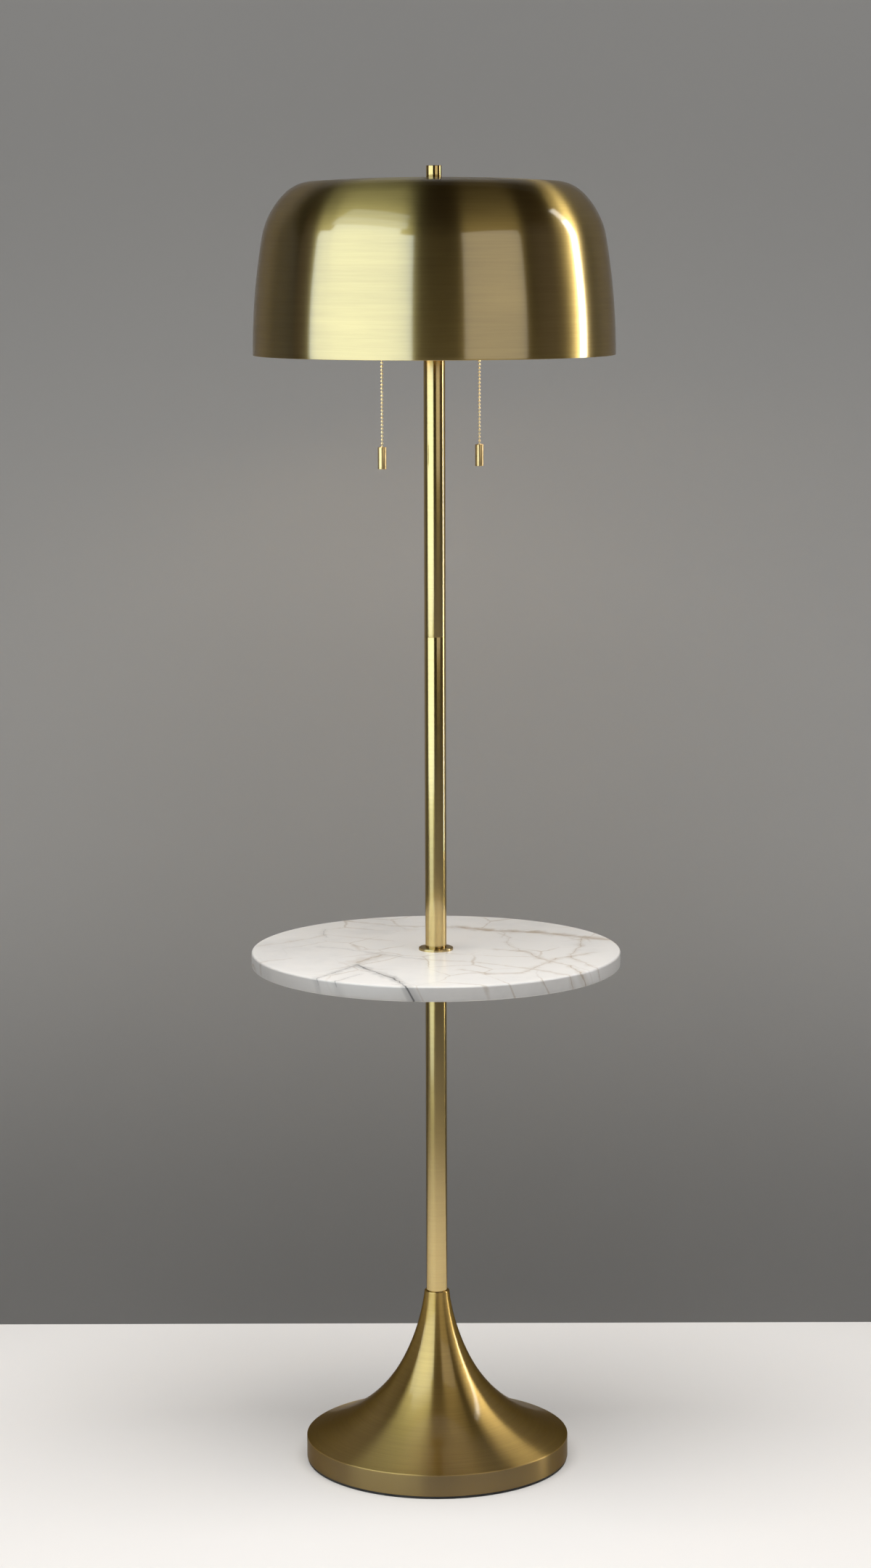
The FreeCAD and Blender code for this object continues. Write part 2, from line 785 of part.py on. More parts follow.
def chain_guide(side):
    """The bell mouth under the socket that the chain leaves through."""
    top = "guide_top - guide_level"
    outline = [
        ("guide_bore_radius + guide_mouth", "0"),
        ("guide_radius + guide_mouth", "0"),
        ("guide_radius", "2 * guide_mouth"),
        ("guide_radius", top),
        ("guide_bore_radius", top),
        ("guide_bore_radius", "2 * guide_mouth"),
    ]
    place_hanging(turned(f"chain_guide_{side}", outline), side, "guide_level")


def switch_plunger(side):
    """The sliding end of the pull switch, which carries the chain."""
    outline = disc_outline("guide_bore_radius - plunger_clearance", "plunger_length")
    place_hanging(turned(f"switch_plunger_{side}", outline), side, "plunger_level")


def faceted_turning(profile, sides):
    """A closed solid whose sections are regular polygons, through (radius, level) pairs."""
    rings = []
    for radius, level in profile:
        angles = [2 * math.pi * side / sides for side in range(sides)]
        rings.append(
            [Vector(radius * math.cos(turn), radius * math.sin(turn), level) for turn in angles]
        )
    loops = [rings[0][::-1], rings[-1]]
    for lower, upper in zip(rings, rings[1:]):
        for side in range(sides):
            after = (side + 1) % sides
            loops.append([lower[side], lower[after], upper[after], upper[side]])
    faces = [Part.Face(Part.makePolygon([*loop, loop[0]])) for loop in loops]
    return Part.makeSolid(Part.makeShell(faces))


def ball_chain(side):
    """Beads strung on a short wire each, in flat facets. The last bead hangs in the knob."""
    bead, wire, pitch = value("bead_radius"), value("wire_radius"), value("bead_pitch")
    count = round(value("bead_count"))
    belt, shoulder = bead * math.sin(math.radians(24)), bead * math.cos(math.radians(24))
    pole = math.sqrt(bead ** 2 - wire ** 2)
    profile = []
    for index in range(count):
        centre = (index - count + 1) * pitch
        profile += [
            (wire, centre - pole),
            (shoulder, centre - belt),
            (shoulder, centre + belt),
            (wire, centre + pole),
        ]
    chain = document.addObject("Part::Feature", f"Body_ball_chain_{side}")
    chain.Label = f"ball_chain_{side}"
    chain.Shape = faceted_turning(profile, BEAD_SIDES)
    pieces.append(chain)
    place_hanging(chain, side, "chain_top")


def pull_knob(side):
    """A plain barrel that hangs on the chain's last bead, half sunk in its top."""
    pocket = "bead_radius + bead_clearance"
    outline = [
        ("0", "-knob_length"),
        ("knob_radius - knob_chamfer", "-knob_length"),
        ("knob_radius", "-knob_length + knob_chamfer"),
        ("knob_radius", "-knob_chamfer"),
        ("knob_radius - knob_chamfer", "0"),
        (pocket, "0"),
        (pocket, f"-({pocket})"),
        ("0", f"-({pocket})"),
    ]
    place_hanging(turned(f"pull_knob_{side}", outline), side, "knob_top")


base()
pole()
table()
cluster()
shade()
finial()
for side_name in SIDES:
    arm(side_name)
    socket_cap(side_name)
    socket_shell(side_name)
    socket_insulator(side_name)
    socket_contacts(side_name)
    bulb(side_name)
    chain_guide(side_name)
    switch_plunger(side_name)
    ball_chain(side_name)
    pull_knob(side_name)

document.recompute()
for item in document.Objects:
    if {"Invalid", "Error"} & set(item.State):
        raise RuntimeError(f"{item.Label} did not compute: {item.State}")
for piece in pieces:
    if piece.Shape.isNull() or not piece.Shape.isValid() or len(piece.Shape.Solids) != 1:
        raise RuntimeError(f"{piece.Label} has no single valid solid")

os.makedirs("parts", exist_ok=True)
for piece in pieces:
    piece.Shape.exportStep(f"parts/{piece.Label}.step")
print(f"{len(pieces)} pieces written")
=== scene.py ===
import json
import math

import bmesh
import bpy
from mathutils import Matrix, Vector


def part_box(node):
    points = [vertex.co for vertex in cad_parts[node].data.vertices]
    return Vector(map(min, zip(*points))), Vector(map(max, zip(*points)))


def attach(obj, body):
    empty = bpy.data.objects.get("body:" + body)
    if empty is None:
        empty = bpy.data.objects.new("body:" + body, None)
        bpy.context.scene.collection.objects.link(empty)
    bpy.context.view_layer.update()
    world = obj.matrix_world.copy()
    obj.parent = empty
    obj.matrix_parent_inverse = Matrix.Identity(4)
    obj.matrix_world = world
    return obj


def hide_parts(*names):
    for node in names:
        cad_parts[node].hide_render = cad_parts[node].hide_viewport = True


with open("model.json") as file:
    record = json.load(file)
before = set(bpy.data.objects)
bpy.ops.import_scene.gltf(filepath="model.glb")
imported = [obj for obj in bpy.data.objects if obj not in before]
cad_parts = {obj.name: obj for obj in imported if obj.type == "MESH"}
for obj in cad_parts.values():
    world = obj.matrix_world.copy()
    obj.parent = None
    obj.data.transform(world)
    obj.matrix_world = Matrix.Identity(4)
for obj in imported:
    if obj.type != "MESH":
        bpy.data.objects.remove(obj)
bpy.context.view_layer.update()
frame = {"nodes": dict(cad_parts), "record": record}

mm = 0.001
print("frame loaded")


def arcTo(outline, end, radius, steps):
    # the short arc from the last point to end; a negative radius turns clockwise
    start, end = Vector(outline[-1][:2]), Vector(end)
    chord = end - start
    side = Vector((-chord.y, chord.x)).normalized() * math.copysign(1, radius)
    centre = start + chord / 2 + side * math.sqrt(max(radius**2 - chord.length_squared / 4, 0))
    spread = 2 * math.asin(chord.length / 2 / abs(radius)) * math.copysign(1, radius)
    spoke = start - centre
    for step in range(1, steps + 1):
        turn = spread * step / steps
        outline.append((
            centre.x + spoke.x * math.cos(turn) - spoke.y * math.sin(turn),
            centre.y + spoke.x * math.sin(turn) + spoke.y * math.cos(turn),
        ))


def roundCorners(corners, steps=5):
    # each corner is (reach, level) or (reach, level, rounding); a reach is measured from the axis
    outline = []
    for index, corner in enumerate(corners):
        here = Vector(corner[:2])
        if len(corner) == 2:
            outline.append(here)
            continue
        rounding = corner[2]
        before = (Vector(corners[index - 1][:2]) - here).normalized()
        after = (Vector(corners[(index + 1) % len(corners)][:2]) - here).normalized()
        half = before.angle(after) / 2
        centre = here + (before + after).normalized() * rounding / math.sin(half)
        first = here + before * rounding / math.tan(half) - centre
        last = here + after * rounding / math.tan(half) - centre
        angle = math.atan2(first.y, first.x)
        turn = (math.atan2(last.y, last.x) - angle + math.pi) % (2 * math.pi) - math.pi
        for step in range(steps + 1):
            spoke = angle + turn * step / steps
            outline.append(centre + rounding * Vector((math.cos(spoke), math.sin(spoke))))
    return outline


def turnedPiece(name, outline, turns, place=Matrix(), crease=40):
    # a closed outline turned round Z, in as many steps as turns says
    onAxis = 1e-7
    shape = bmesh.new()
    angles = [2 * math.pi * side / turns for side in range(turns)]
    rings = []
    for reach, level in outline:
        if reach < onAxis:
            rings.append([shape.verts.new((0, 0, level))])
        else:
            rings.append([
                shape.verts.new((reach * math.cos(turn), reach * math.sin(turn), level))
                for turn in angles
            ])
    for lower, upper in zip(rings, rings[1:] + rings[:1]):
        if len(lower) == len(upper) == 1:
            continue
        for side in range(turns):
            after = (side + 1) % turns
            corners = [(lower, side), (lower, after), (upper, after), (upper, side)]
            shape.faces.new(dict.fromkeys(ring[spot % len(ring)] for ring, spot in corners))
    shape.transform(place)
    bmesh.ops.recalc_face_normals(shape, faces=shape.faces)
    mesh = bpy.data.meshes.new(name)
    shape.to_mesh(mesh)
    shape.free()
    mesh.polygons.foreach_set("use_smooth", [True] * len(mesh.polygons))
    mesh.set_sharp_from_angle(angle=math.radians(crease))
    piece = bpy.data.objects.new(name, mesh)
    bpy.context.scene.collection.objects.link(piece)
    return piece


def tubeOutline(outer, inner, bottom, top, rounding):
    return roundCorners([
        (inner, bottom), (outer, bottom, rounding), (outer, top, rounding), (inner, top),
    ])


def discOutline(radius, bottom, top, rounding):
    return roundCorners([
        (0, bottom), (radius, bottom, rounding), (radius, top, rounding), (0, top),
    ])


def finish(piece, material, slot, body, *nodes):
    piece.data.materials.clear()
    piece.data.materials.append(material)
    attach(piece, body)
    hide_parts(*nodes)


def feed(tree, socket, source):
    if isinstance(source, bpy.types.NodeSocket):
        tree.links.new(source, socket)
    else:
        socket.default_value = source


def addNode(tree, kind, inputs=(), **settings):
    node = tree.nodes.new(kind)
    for name, setting in settings.items():
        setattr(node, name, setting)
    for key, source in dict(inputs).items():
        feed(tree, node.inputs[key], source)
    return node


def calculate(tree, operation, *values, clamp=False):
    node = addNode(tree, "ShaderNodeMath", enumerate(values), operation=operation, use_clamp=clamp)
    return node.outputs[0]


def combine(tree, operation, *vectors):
    node = addNode(tree, "ShaderNodeVectorMath", enumerate(vectors), operation=operation)
    return node.outputs[0]


def measure(tree, operation, *vectors):
    # a dot product, a distance or a length
    node = addNode(tree, "ShaderNodeVectorMath", enumerate(vectors), operation=operation)
    return node.outputs["Value"]


def scaleVector(tree, vector, factor):
    inputs = {0: vector, "Scale": factor}
    return addNode(tree, "ShaderNodeVectorMath", inputs, operation="SCALE").outputs[0]


def splitVector(tree, vector):
    return addNode(tree, "ShaderNodeSeparateXYZ", {0: vector}).outputs


def joinVector(tree, x, y, z=0.0):
    return addNode(tree, "ShaderNodeCombineXYZ", {"X": x, "Y": y, "Z": z}).outputs[0]


def ramp(tree, value, low, high, start=0.0, end=1.0):
    inputs = {"Value": value, "From Min": low, "From Max": high, "To Min": start, "To Max": end}
    node = addNode(tree, "ShaderNodeMapRange", inputs, interpolation_type="SMOOTHSTEP")
    return node.outputs[0]


def noise(tree, vector, scale, detail=3.0, roughness=0.5, output="Fac"):
    inputs = {"Vector": vector, "Scale": scale, "Detail": detail, "Roughness": roughness}
    return addNode(tree, "ShaderNodeTexNoise", inputs).outputs[output]


def mixColours(tree, factor, first, second, blend="MIX"):
    # a colour is the output of another node, or red, green and blue
    colours = [
        colour if isinstance(colour, bpy.types.NodeSocket) else (*colour, 1)
        for colour in (first, second)
    ]
    inputs = {0: factor, 6: colours[0], 7: colours[1]}
    node = addNode(tree, "ShaderNodeMix", inputs, data_type="RGBA", blend_type=blend)
    return node.outputs[2]


def scaleColour(colour, share):
    return [min(share * part, 1) for part in colour]


def newGroup(name, inputs, outputs):
    # an input with a default is a number, one without is a vector
    group = bpy.data.node_groups.new(name, "ShaderNodeTree")
    for label, value in inputs.items():
        kind = "NodeSocketVector" if value is None else "NodeSocketFloat"
        socket = group.interface.new_socket(name=label, in_out="INPUT", socket_type=kind)
        if value is not None:
            socket.default_value = value
    for label in outputs:
        group.interface.new_socket(name=label, in_out="OUTPUT", socket_type="NodeSocketFloat")
    source = group.nodes.new("NodeGroupInput").outputs
    return group, source, group.nodes.new("NodeGroupOutput").inputs


def useGroup(tree, group, **values):
    node = tree.nodes.new("ShaderNodeGroup")
    node.node_tree = group
    for label, value in values.items():
        feed(tree, node.inputs[label], value)
    return node.outputs


def newMaterial(name, **settings):
    material = bpy.data.materials.new(name)
    material.use_nodes = True
    tree = material.node_tree
    tree.nodes.clear()
    shader = tree.nodes.new("ShaderNodeBsdfPrincipled")
    for label, value in settings.items():
        shader.inputs[label.replace("_", " ")].default_value = value
    output = tree.nodes.new("ShaderNodeOutputMaterial")
    tree.links.new(shader.outputs["BSDF"], output.inputs["Surface"])
    place = tree.nodes.new("ShaderNodeTexCoord").outputs["Object"]
    return material, tree, shader.inputs, place


def addBump(tree, sockets, height, distance, strength):
    inputs = {"Height": height, "Distance": distance, "Strength": strength}
    node = addNode(tree, "ShaderNodeBump", inputs)
    tree.links.new(node.outputs["Normal"], sockets["Normal"])


brushMarks = dict(density=350.0, lineSpread=9.0, patchSpread=7.0, patchDensity=60.0)


def brushingGroup():
    # fine lines that run round the axis, and soft patches where the brush pressed harder
    group, source, result = newGroup(
        "brushing", {"Vector": None, "Density": brushMarks["density"]}, ["Lines", "Patches"],
    )
    split = splitVector(group, source["Vector"])
    reach = calculate(group, "SQRT", calculate(
        group, "ADD",
        calculate(group, "MULTIPLY", split["X"], split["X"]),
        calculate(group, "MULTIPLY", split["Y"], split["Y"]),
    ))
    along = calculate(group, "SUBTRACT", split["Z"], reach)

    def stretch(spread, density):
        return joinVector(
            group,
            calculate(group, "MULTIPLY", split["X"], spread),
            calculate(group, "MULTIPLY", split["Y"], spread),
            calculate(group, "MULTIPLY", along, density),
        )

    lines = stretch(brushMarks["lineSpread"], source["Density"])
    patches = stretch(brushMarks["patchSpread"], brushMarks["patchDensity"])
    feed(group, result["Lines"], noise(group, lines, 1.0, 5.0, 0.75))
    feed(group, result["Patches"], noise(group, patches, 1.0, 2.0, 0.5))
    return group


smudgeMarks = dict(fineScale=9.0, fineShare=0.35, mask=(0.5, 0.9))


def smudgeGroup():
    # uneven gloss left by handling and polishing
    group, source, result = newGroup("smudges", {"Vector": None, "Scale": 20.0}, ["Mask"])
    broad = noise(group, source["Vector"], source["Scale"], 3.0, 0.55)
    fineScale = calculate(group, "MULTIPLY", source["Scale"], smudgeMarks["fineScale"])
    fine = noise(group, source["Vector"], fineScale, 2.0)
    faint = calculate(group, "MULTIPLY", fine, smudgeMarks["fineShare"])
    both = calculate(group, "ADD", broad, faint)
    feed(group, result["Mask"], ramp(group, both, *smudgeMarks["mask"]))
    return group


fleckMarks = dict(edge=0.28, core=0.08)


def fleckGroup():
    # small grains or dust specks
    group, source, result = newGroup(
        "flecks", {"Vector": None, "Scale": 900.0, "Share": 0.1}, ["Mask"],
    )
    cells = addNode(group, "ShaderNodeTexVoronoi", {
        "Vector": source["Vector"], "Scale": source["Scale"],
    }).outputs
    pick = addNode(group, "ShaderNodeSeparateColor", {0: cells["Color"]}).outputs[0]
    chosen = calculate(group, "LESS_THAN", pick, source["Share"])
    speck = ramp(group, cells["Distance"], fleckMarks["edge"], fleckMarks["core"])
    feed(group, result["Mask"], calculate(group, "MULTIPLY", chosen, speck))
    return group


veinMarks = dict(core=0.3, stainWidth=7.0)


def veinGroup():
    # one stretch of a line through stone, with a soft stain along it
    group, source, result = newGroup(
        "vein", {"Vector": None, "Start": None, "End": None, "Width": 0.001, "Stain": 0.3},
        ["Mask"],
    )
    offset = combine(group, "SUBTRACT", source["Vector"], source["Start"])
    run = combine(group, "SUBTRACT", source["End"], source["Start"])
    share = calculate(group, "DIVIDE", measure(group, "DOT_PRODUCT", offset, run),
                      measure(group, "DOT_PRODUCT", run, run), clamp=True)
    away = measure(group, "DISTANCE", offset, scaleVector(group, run, share))
    line = ramp(group, calculate(group, "DIVIDE", away, source["Width"]), 1.0, veinMarks["core"])
    wide = calculate(group, "MULTIPLY", source["Width"], veinMarks["stainWidth"])
    stain = ramp(group, calculate(group, "DIVIDE", away, wide), 1.0, 0.0)
    faint = calculate(group, "MULTIPLY", stain, source["Stain"])
    feed(group, result["Mask"], calculate(group, "MAXIMUM", line, faint))
    return group


brushing, smudges, flecks, vein = brushingGroup(), smudgeGroup(), fleckGroup(), veinGroup()

brass = dict(
    colour=(0.60, 0.44, 0.15), shadow=(0.53, 0.38, 0.125), bright=(0.62, 0.45, 0.18),
    # bead is a much lighter copy of the brass for the chain: a painted highlight that makes the
    # beads look lit
    bead=(0.97, 0.88, 0.62), knob=(0.72, 0.53, 0.25), hem=0.42, limb=(0.5, 0.4, 0.25),
    # the cover's colour and shadow are a warmer copy of the brass: painted warmer light on the base
    coverColour=(0.60, 0.405, 0.125), coverShadow=(0.52, 0.345, 0.105),
)
brushed = dict(
    coat=0.6, coatIndex=2.5, coatRoughness=0.1, fan=1.0, fanTurn=0.25, roughness=0.33,
    lineShare=0.85, toneRange=(0.25, 0.75), glossRange=(0.3, 0.7), glossSwing=0.01,
    smudgeScale=11.0, smudgeDulling=0.02, hemSoftness=1 * mm,
)
polished = dict(
    roughness=0.08, beadRoughness=0.32, knobRoughness=0.3, coat=0.3, smudgeScale=90.0,
    smudgeTone=0.88, smudgeDulling=0.04,
)


def brushedBrass(name, colour, shadow, hem=0.0, coat=brushed["coat"], fan=brushed["fan"],
                 roughness=brushed["roughness"]):
    # lacquered antique brass, brushed round the pole's axis; below the height of its hem it is
    # painted a darker brown, painted shade that keeps the skirt's reflection of the pale floor dark
    material, tree, sockets, place = newMaterial(
        name, Metallic=1.0, Anisotropic=fan, Anisotropic_Rotation=brushed["fanTurn"],
        Specular_Tint=(*brass["limb"], 1), Coat_Weight=coat, Coat_IOR=brushed["coatIndex"],
        Coat_Roughness=brushed["coatRoughness"],
    )
    marks = useGroup(tree, brushing, Vector=place, Density=brushMarks["density"])
    depth = calculate(
        tree, "ADD",
        calculate(tree, "MULTIPLY", marks["Lines"], brushed["lineShare"]),
        calculate(tree, "MULTIPLY", marks["Patches"], 1 - brushed["lineShare"]),
    )
    tone = mixColours(tree, ramp(tree, depth, *brushed["toneRange"]), shadow, colour)
    # painted shade: below the hem the colour is painted darker, standing in for a darker reflection
    # on the skirt
    if hem:
        height, softness = splitVector(tree, place)["Z"], brushed["hemSoftness"]
        below = ramp(tree, height, hem + softness, hem - softness)
        tone = mixColours(tree, below, tone, scaleColour(shadow, brass["hem"]))
    feed(tree, sockets["Base Color"], tone)
    gloss = ramp(tree, marks["Patches"], *brushed["glossRange"],
                 roughness + brushed["glossSwing"], roughness - brushed["glossSwing"])
    worn = useGroup(tree, smudges, Vector=place, Scale=brushed["smudgeScale"])["Mask"]
    dulled = calculate(tree, "MULTIPLY", worn, brushed["smudgeDulling"])
    feed(tree, sockets["Roughness"], calculate(tree, "ADD", gloss, dulled))
    around = combine(tree, "NORMALIZE", combine(tree, "CROSS_PRODUCT", (0, 0, 1), place))
    feed(tree, sockets["Tangent"], around)
    return material


def polishedBrass(name, colour, roughness):
    material, tree, sockets, place = newMaterial(name, Metallic=1.0, Coat_Weight=polished["coat"])
    worn = useGroup(tree, smudges, Vector=place, Scale=polished["smudgeScale"])["Mask"]
    tone = mixColours(tree, worn, colour, scaleColour(colour, polished["smudgeTone"]))
    feed(tree, sockets["Base Color"], tone)
    dulled = calculate(tree, "MULTIPLY", worn, polished["smudgeDulling"])
    feed(tree, sockets["Roughness"], calculate(tree, "ADD", dulled, roughness))
    return material


stone = dict(
    white=(0.82, 0.815, 0.80),
    cloud=(0.70, 0.70, 0.695),
    tan=(0.36, 0.27, 0.17),
    grey=(0.16, 0.16, 0.165),
    coat=0.1, coatRoughness=0.06, roughness=(0.3, 0.36), smudgeScale=14.0,
    cloudScale=7.0, cloudRange=(0.45, 0.75),
    swirlScale=17.0, wander=0.026, slant=0.5,
    threadScale=13.0, threadWidth=0.025, threadGaps=(0.42, 0.62), threadStrength=0.45,
    swellScale=60.0, swell=(0.4, 1.5),
    bumpScale=40.0, bumpDepth=0.2 * mm, bumpStrength=0.15,
    # tone, strength, half width in mm, share of stain beside it, then points seen from above in mm
    veins=[
        ("tan", 0.55, 1.1, 0.35, (-150, 214), (-106, 183), (-57, 154), (-26, 142), (29, 141)),
        ("tan", 0.85, 2.2, 0.5, (29, 141), (65, 119), (120, 109), (176, 70), (222, 52)),
        ("grey", 0.4, 0.9, 0.3, (-138, 20), (-87, -12), (-19, -58)),
        ("tan", 0.5, 1.0, 0.35, (-19, -58), (50, -81), (113, -119), (154, -156)),
        ("grey", 1.0, 1.5, 0.35, (-91, -94), (-53, -166), (-41, -195), (-30, -226)),
        ("tan", 0.6, 3.4, 0.4, (-92, -79), (-66, -32)),
        ("tan", 0.65, 1.1, 0.35, (70, 0), (104, -14), (121, -60), (157, -97), (166, -145)),
        ("tan", 0.6, 1.1, 0.35, (190, -20), (141, -60), (98, -140), (61, -147), (30, -120)),
        ("tan", 0.4, 0.8, 0.3, (65, 119), (88, 71), (82, 40), (104, -14)),
        ("tan", 0.55, 1.0, 0.35, (176, 70), (171, 23), (159, -53), (186, -110)),
        ("grey", 0.4, 0.9, 0.3, (-134, 130), (-131, 74)),
        ("tan", 0.4, 0.9, 0.3, (-213, 21), (-175, 51), (-129, 90)),
        ("tan", 0.3, 0.8, 0.3, (-129, 90), (-50, 50)),
        ("grey", 0.6, 1.3, 0.35, (-92, -92), (-112, -130), (-136, -172)),
        ("grey", 0.45, 1.1, 0.3, (-88, -150), (-115, -187)),
        ("tan", 0.45, 1.0, 0.3, (-172, -52), (-208, -76)),
    ],
)


def marbleFinish():
    material, tree, sockets, place = newMaterial(
        "marble", IOR=1.5, Coat_Weight=stone["coat"], Coat_Roughness=stone["coatRoughness"],
    )
    # the pattern slants with depth, so that the veins also run down the edge of the table
    split = splitVector(tree, place)
    depth = calculate(tree, "SUBTRACT", split["Z"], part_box("table_top")[1].z)
    slanted = calculate(tree, "MULTIPLY_ADD", depth, stone["slant"], split["X"])
    flat = joinVector(tree, slanted, split["Y"])
    swirl = noise(tree, flat, stone["swirlScale"], 6.0, 0.6, "Color")
    shift = scaleVector(tree, combine(tree, "SUBTRACT", swirl, (0.5, 0.5, 0.5)), stone["wander"])
    bent = combine(tree, "MULTIPLY", combine(tree, "ADD", flat, shift), (1, 1, 0))
    clouds = ramp(tree, noise(tree, place, stone["cloudScale"], 6.0, 0.6), *stone["cloudRange"])
    tone = mixColours(tree, clouds, stone["white"], stone["cloud"])
    cells = addNode(tree, "ShaderNodeTexVoronoi", {"Vector": bent, "Scale": stone["threadScale"]},
                    feature="DISTANCE_TO_EDGE").outputs["Distance"]
    threads = calculate(
        tree, "MULTIPLY",
        ramp(tree, cells, stone["threadWidth"], 0.0),
        ramp(tree, noise(tree, place, 8.0, 2.0), *stone["threadGaps"], 0.0,
             stone["threadStrength"]),
    )
    tone = mixColours(tree, threads, tone, stone["tan"])
    swell = ramp(tree, noise(tree, flat, stone["swellScale"], 2.0), 0.3, 0.7, *stone["swell"])
    for kind, strength, width, stain, *points in stone["veins"]:
        for start, end in zip(points, points[1:]):
            mark = useGroup(tree, vein, Vector=bent, Start=(start[0] * mm, start[1] * mm, 0),
                            End=(end[0] * mm, end[1] * mm, 0), Stain=stain,
                            Width=calculate(tree, "MULTIPLY", swell, width * mm))
            share = calculate(tree, "MULTIPLY", mark["Mask"], strength)
            tone = mixColours(tree, share, tone, stone[kind], "DARKEN")
    feed(tree, sockets["Base Color"], tone)
    worn = useGroup(tree, smudges, Vector=place, Scale=stone["smudgeScale"])["Mask"]
    feed(tree, sockets["Roughness"], ramp(tree, worn, 0.0, 1.0, *stone["roughness"]))
    addBump(tree, sockets, noise(tree, place, stone["bumpScale"], 3.0), stone["bumpDepth"],
            stone["bumpStrength"])
    return material


plain = dict(smudgeSpan=30, smudgeTone=0.75, fleckTone=1.6, bumpStrength=0.5)


def plainFinish(name, colour, roughness, grain, share, bump=0.0, **settings):
    # a body colour with grains in it and uneven gloss
    material, tree, sockets, place = newMaterial(name, **settings)
    dots = useGroup(tree, flecks, Vector=place, Scale=grain, Share=share)["Mask"]
    worn = useGroup(tree, smudges, Vector=place, Scale=grain / plain["smudgeSpan"])["Mask"]
    tone = mixColours(tree, worn, colour, scaleColour(colour, plain["smudgeTone"]))
    tone = mixColours(tree, dots, tone, scaleColour(colour, plain["fleckTone"]))
    feed(tree, sockets["Base Color"], tone)
    feed(tree, sockets["Roughness"], ramp(tree, worn, 0.0, 1.0, *roughness))
    if bump:
        addBump(tree, sockets, noise(tree, place, grain, 3.0), bump, plain["bumpStrength"])
    return material


plainLooks = {
    "rubber": dict(name="blackRubber", colour=(0.02, 0.02, 0.02), roughness=(0.6, 0.8),
                   grain=1500.0, share=0.2, bump=0.1 * mm),
    "iron": dict(name="castIron", colour=(0.06, 0.06, 0.062), roughness=(0.5, 0.75),
                 grain=700.0, share=0.35, bump=0.4 * mm, Metallic=0.7),
    "steel": dict(name="platedSteel", colour=(0.58, 0.58, 0.56), roughness=(0.25, 0.42),
                  grain=1200.0, share=0.15, Metallic=1.0),
    "insulator": dict(name="blackMoulding", colour=(0.03, 0.026, 0.024), roughness=(0.35, 0.5),
                      grain=1000.0, share=0.1, bump=0.05 * mm),
    "bulb_glass": dict(name="frostedGlass", colour=(0.86, 0.84, 0.78), roughness=(0.25, 0.35),
                       grain=800.0, share=0.05, Emission_Color=(1.0, 0.75, 0.43, 1),
                       Emission_Strength=16.0),
    "bulb_metal": dict(name="bulbCap", colour=(0.75, 0.75, 0.73), roughness=(0.2, 0.35),
                       grain=900.0, share=0.1, Metallic=1.0),
}
finishes = {slot: plainFinish(**look) for slot, look in plainLooks.items()}
finishes["antique_brass"] = brushedBrass("brushedBrass", brass["colour"], brass["shadow"])
finishes["polished_brass"] = polishedBrass("polishedBrass", brass["bright"], polished["roughness"])
finishes["marble"] = marbleFinish()
# painted highlight: the beads' brass is painted much lighter so that they look lit
beadBrightenedBrass = polishedBrass("beadBrightenedBrass", brass["bead"], polished["beadRoughness"])
knobBrass = polishedBrass("knobBrass", brass["knob"], polished["knobRoughness"])

# a node that isn't remade below keeps its solid's mesh, with the finish of its slot
slots = {part["node"]: part["material_slot"] for part in frame["record"]["subparts"]}
for name, node in frame["nodes"].items():
    for materialSlot in node.material_slots:
        materialSlot.material = finishes[slots[name]]
print("finishes ready")


trumpet = dict(
    wall=1.2 * mm, neckRadius=14.8 * mm, neckRounding=1.2 * mm, lipDepth=4 * mm, skirt=26 * mm,
    angles=(7.0, 27.2, 62.7, 71.3), bends=(252 * mm, 171.5 * mm), boreGap=0.15 * mm,
    boreRounding=0.3 * mm, lipRounding=1.08 * mm, rimRounding=0.8 * mm, footRounding=0.54 * mm,
    outerSteps=26, innerSteps=16, turns=256, coat=0.18,
)
floorPad = dict(rounding=0.6 * mm, turns=192)


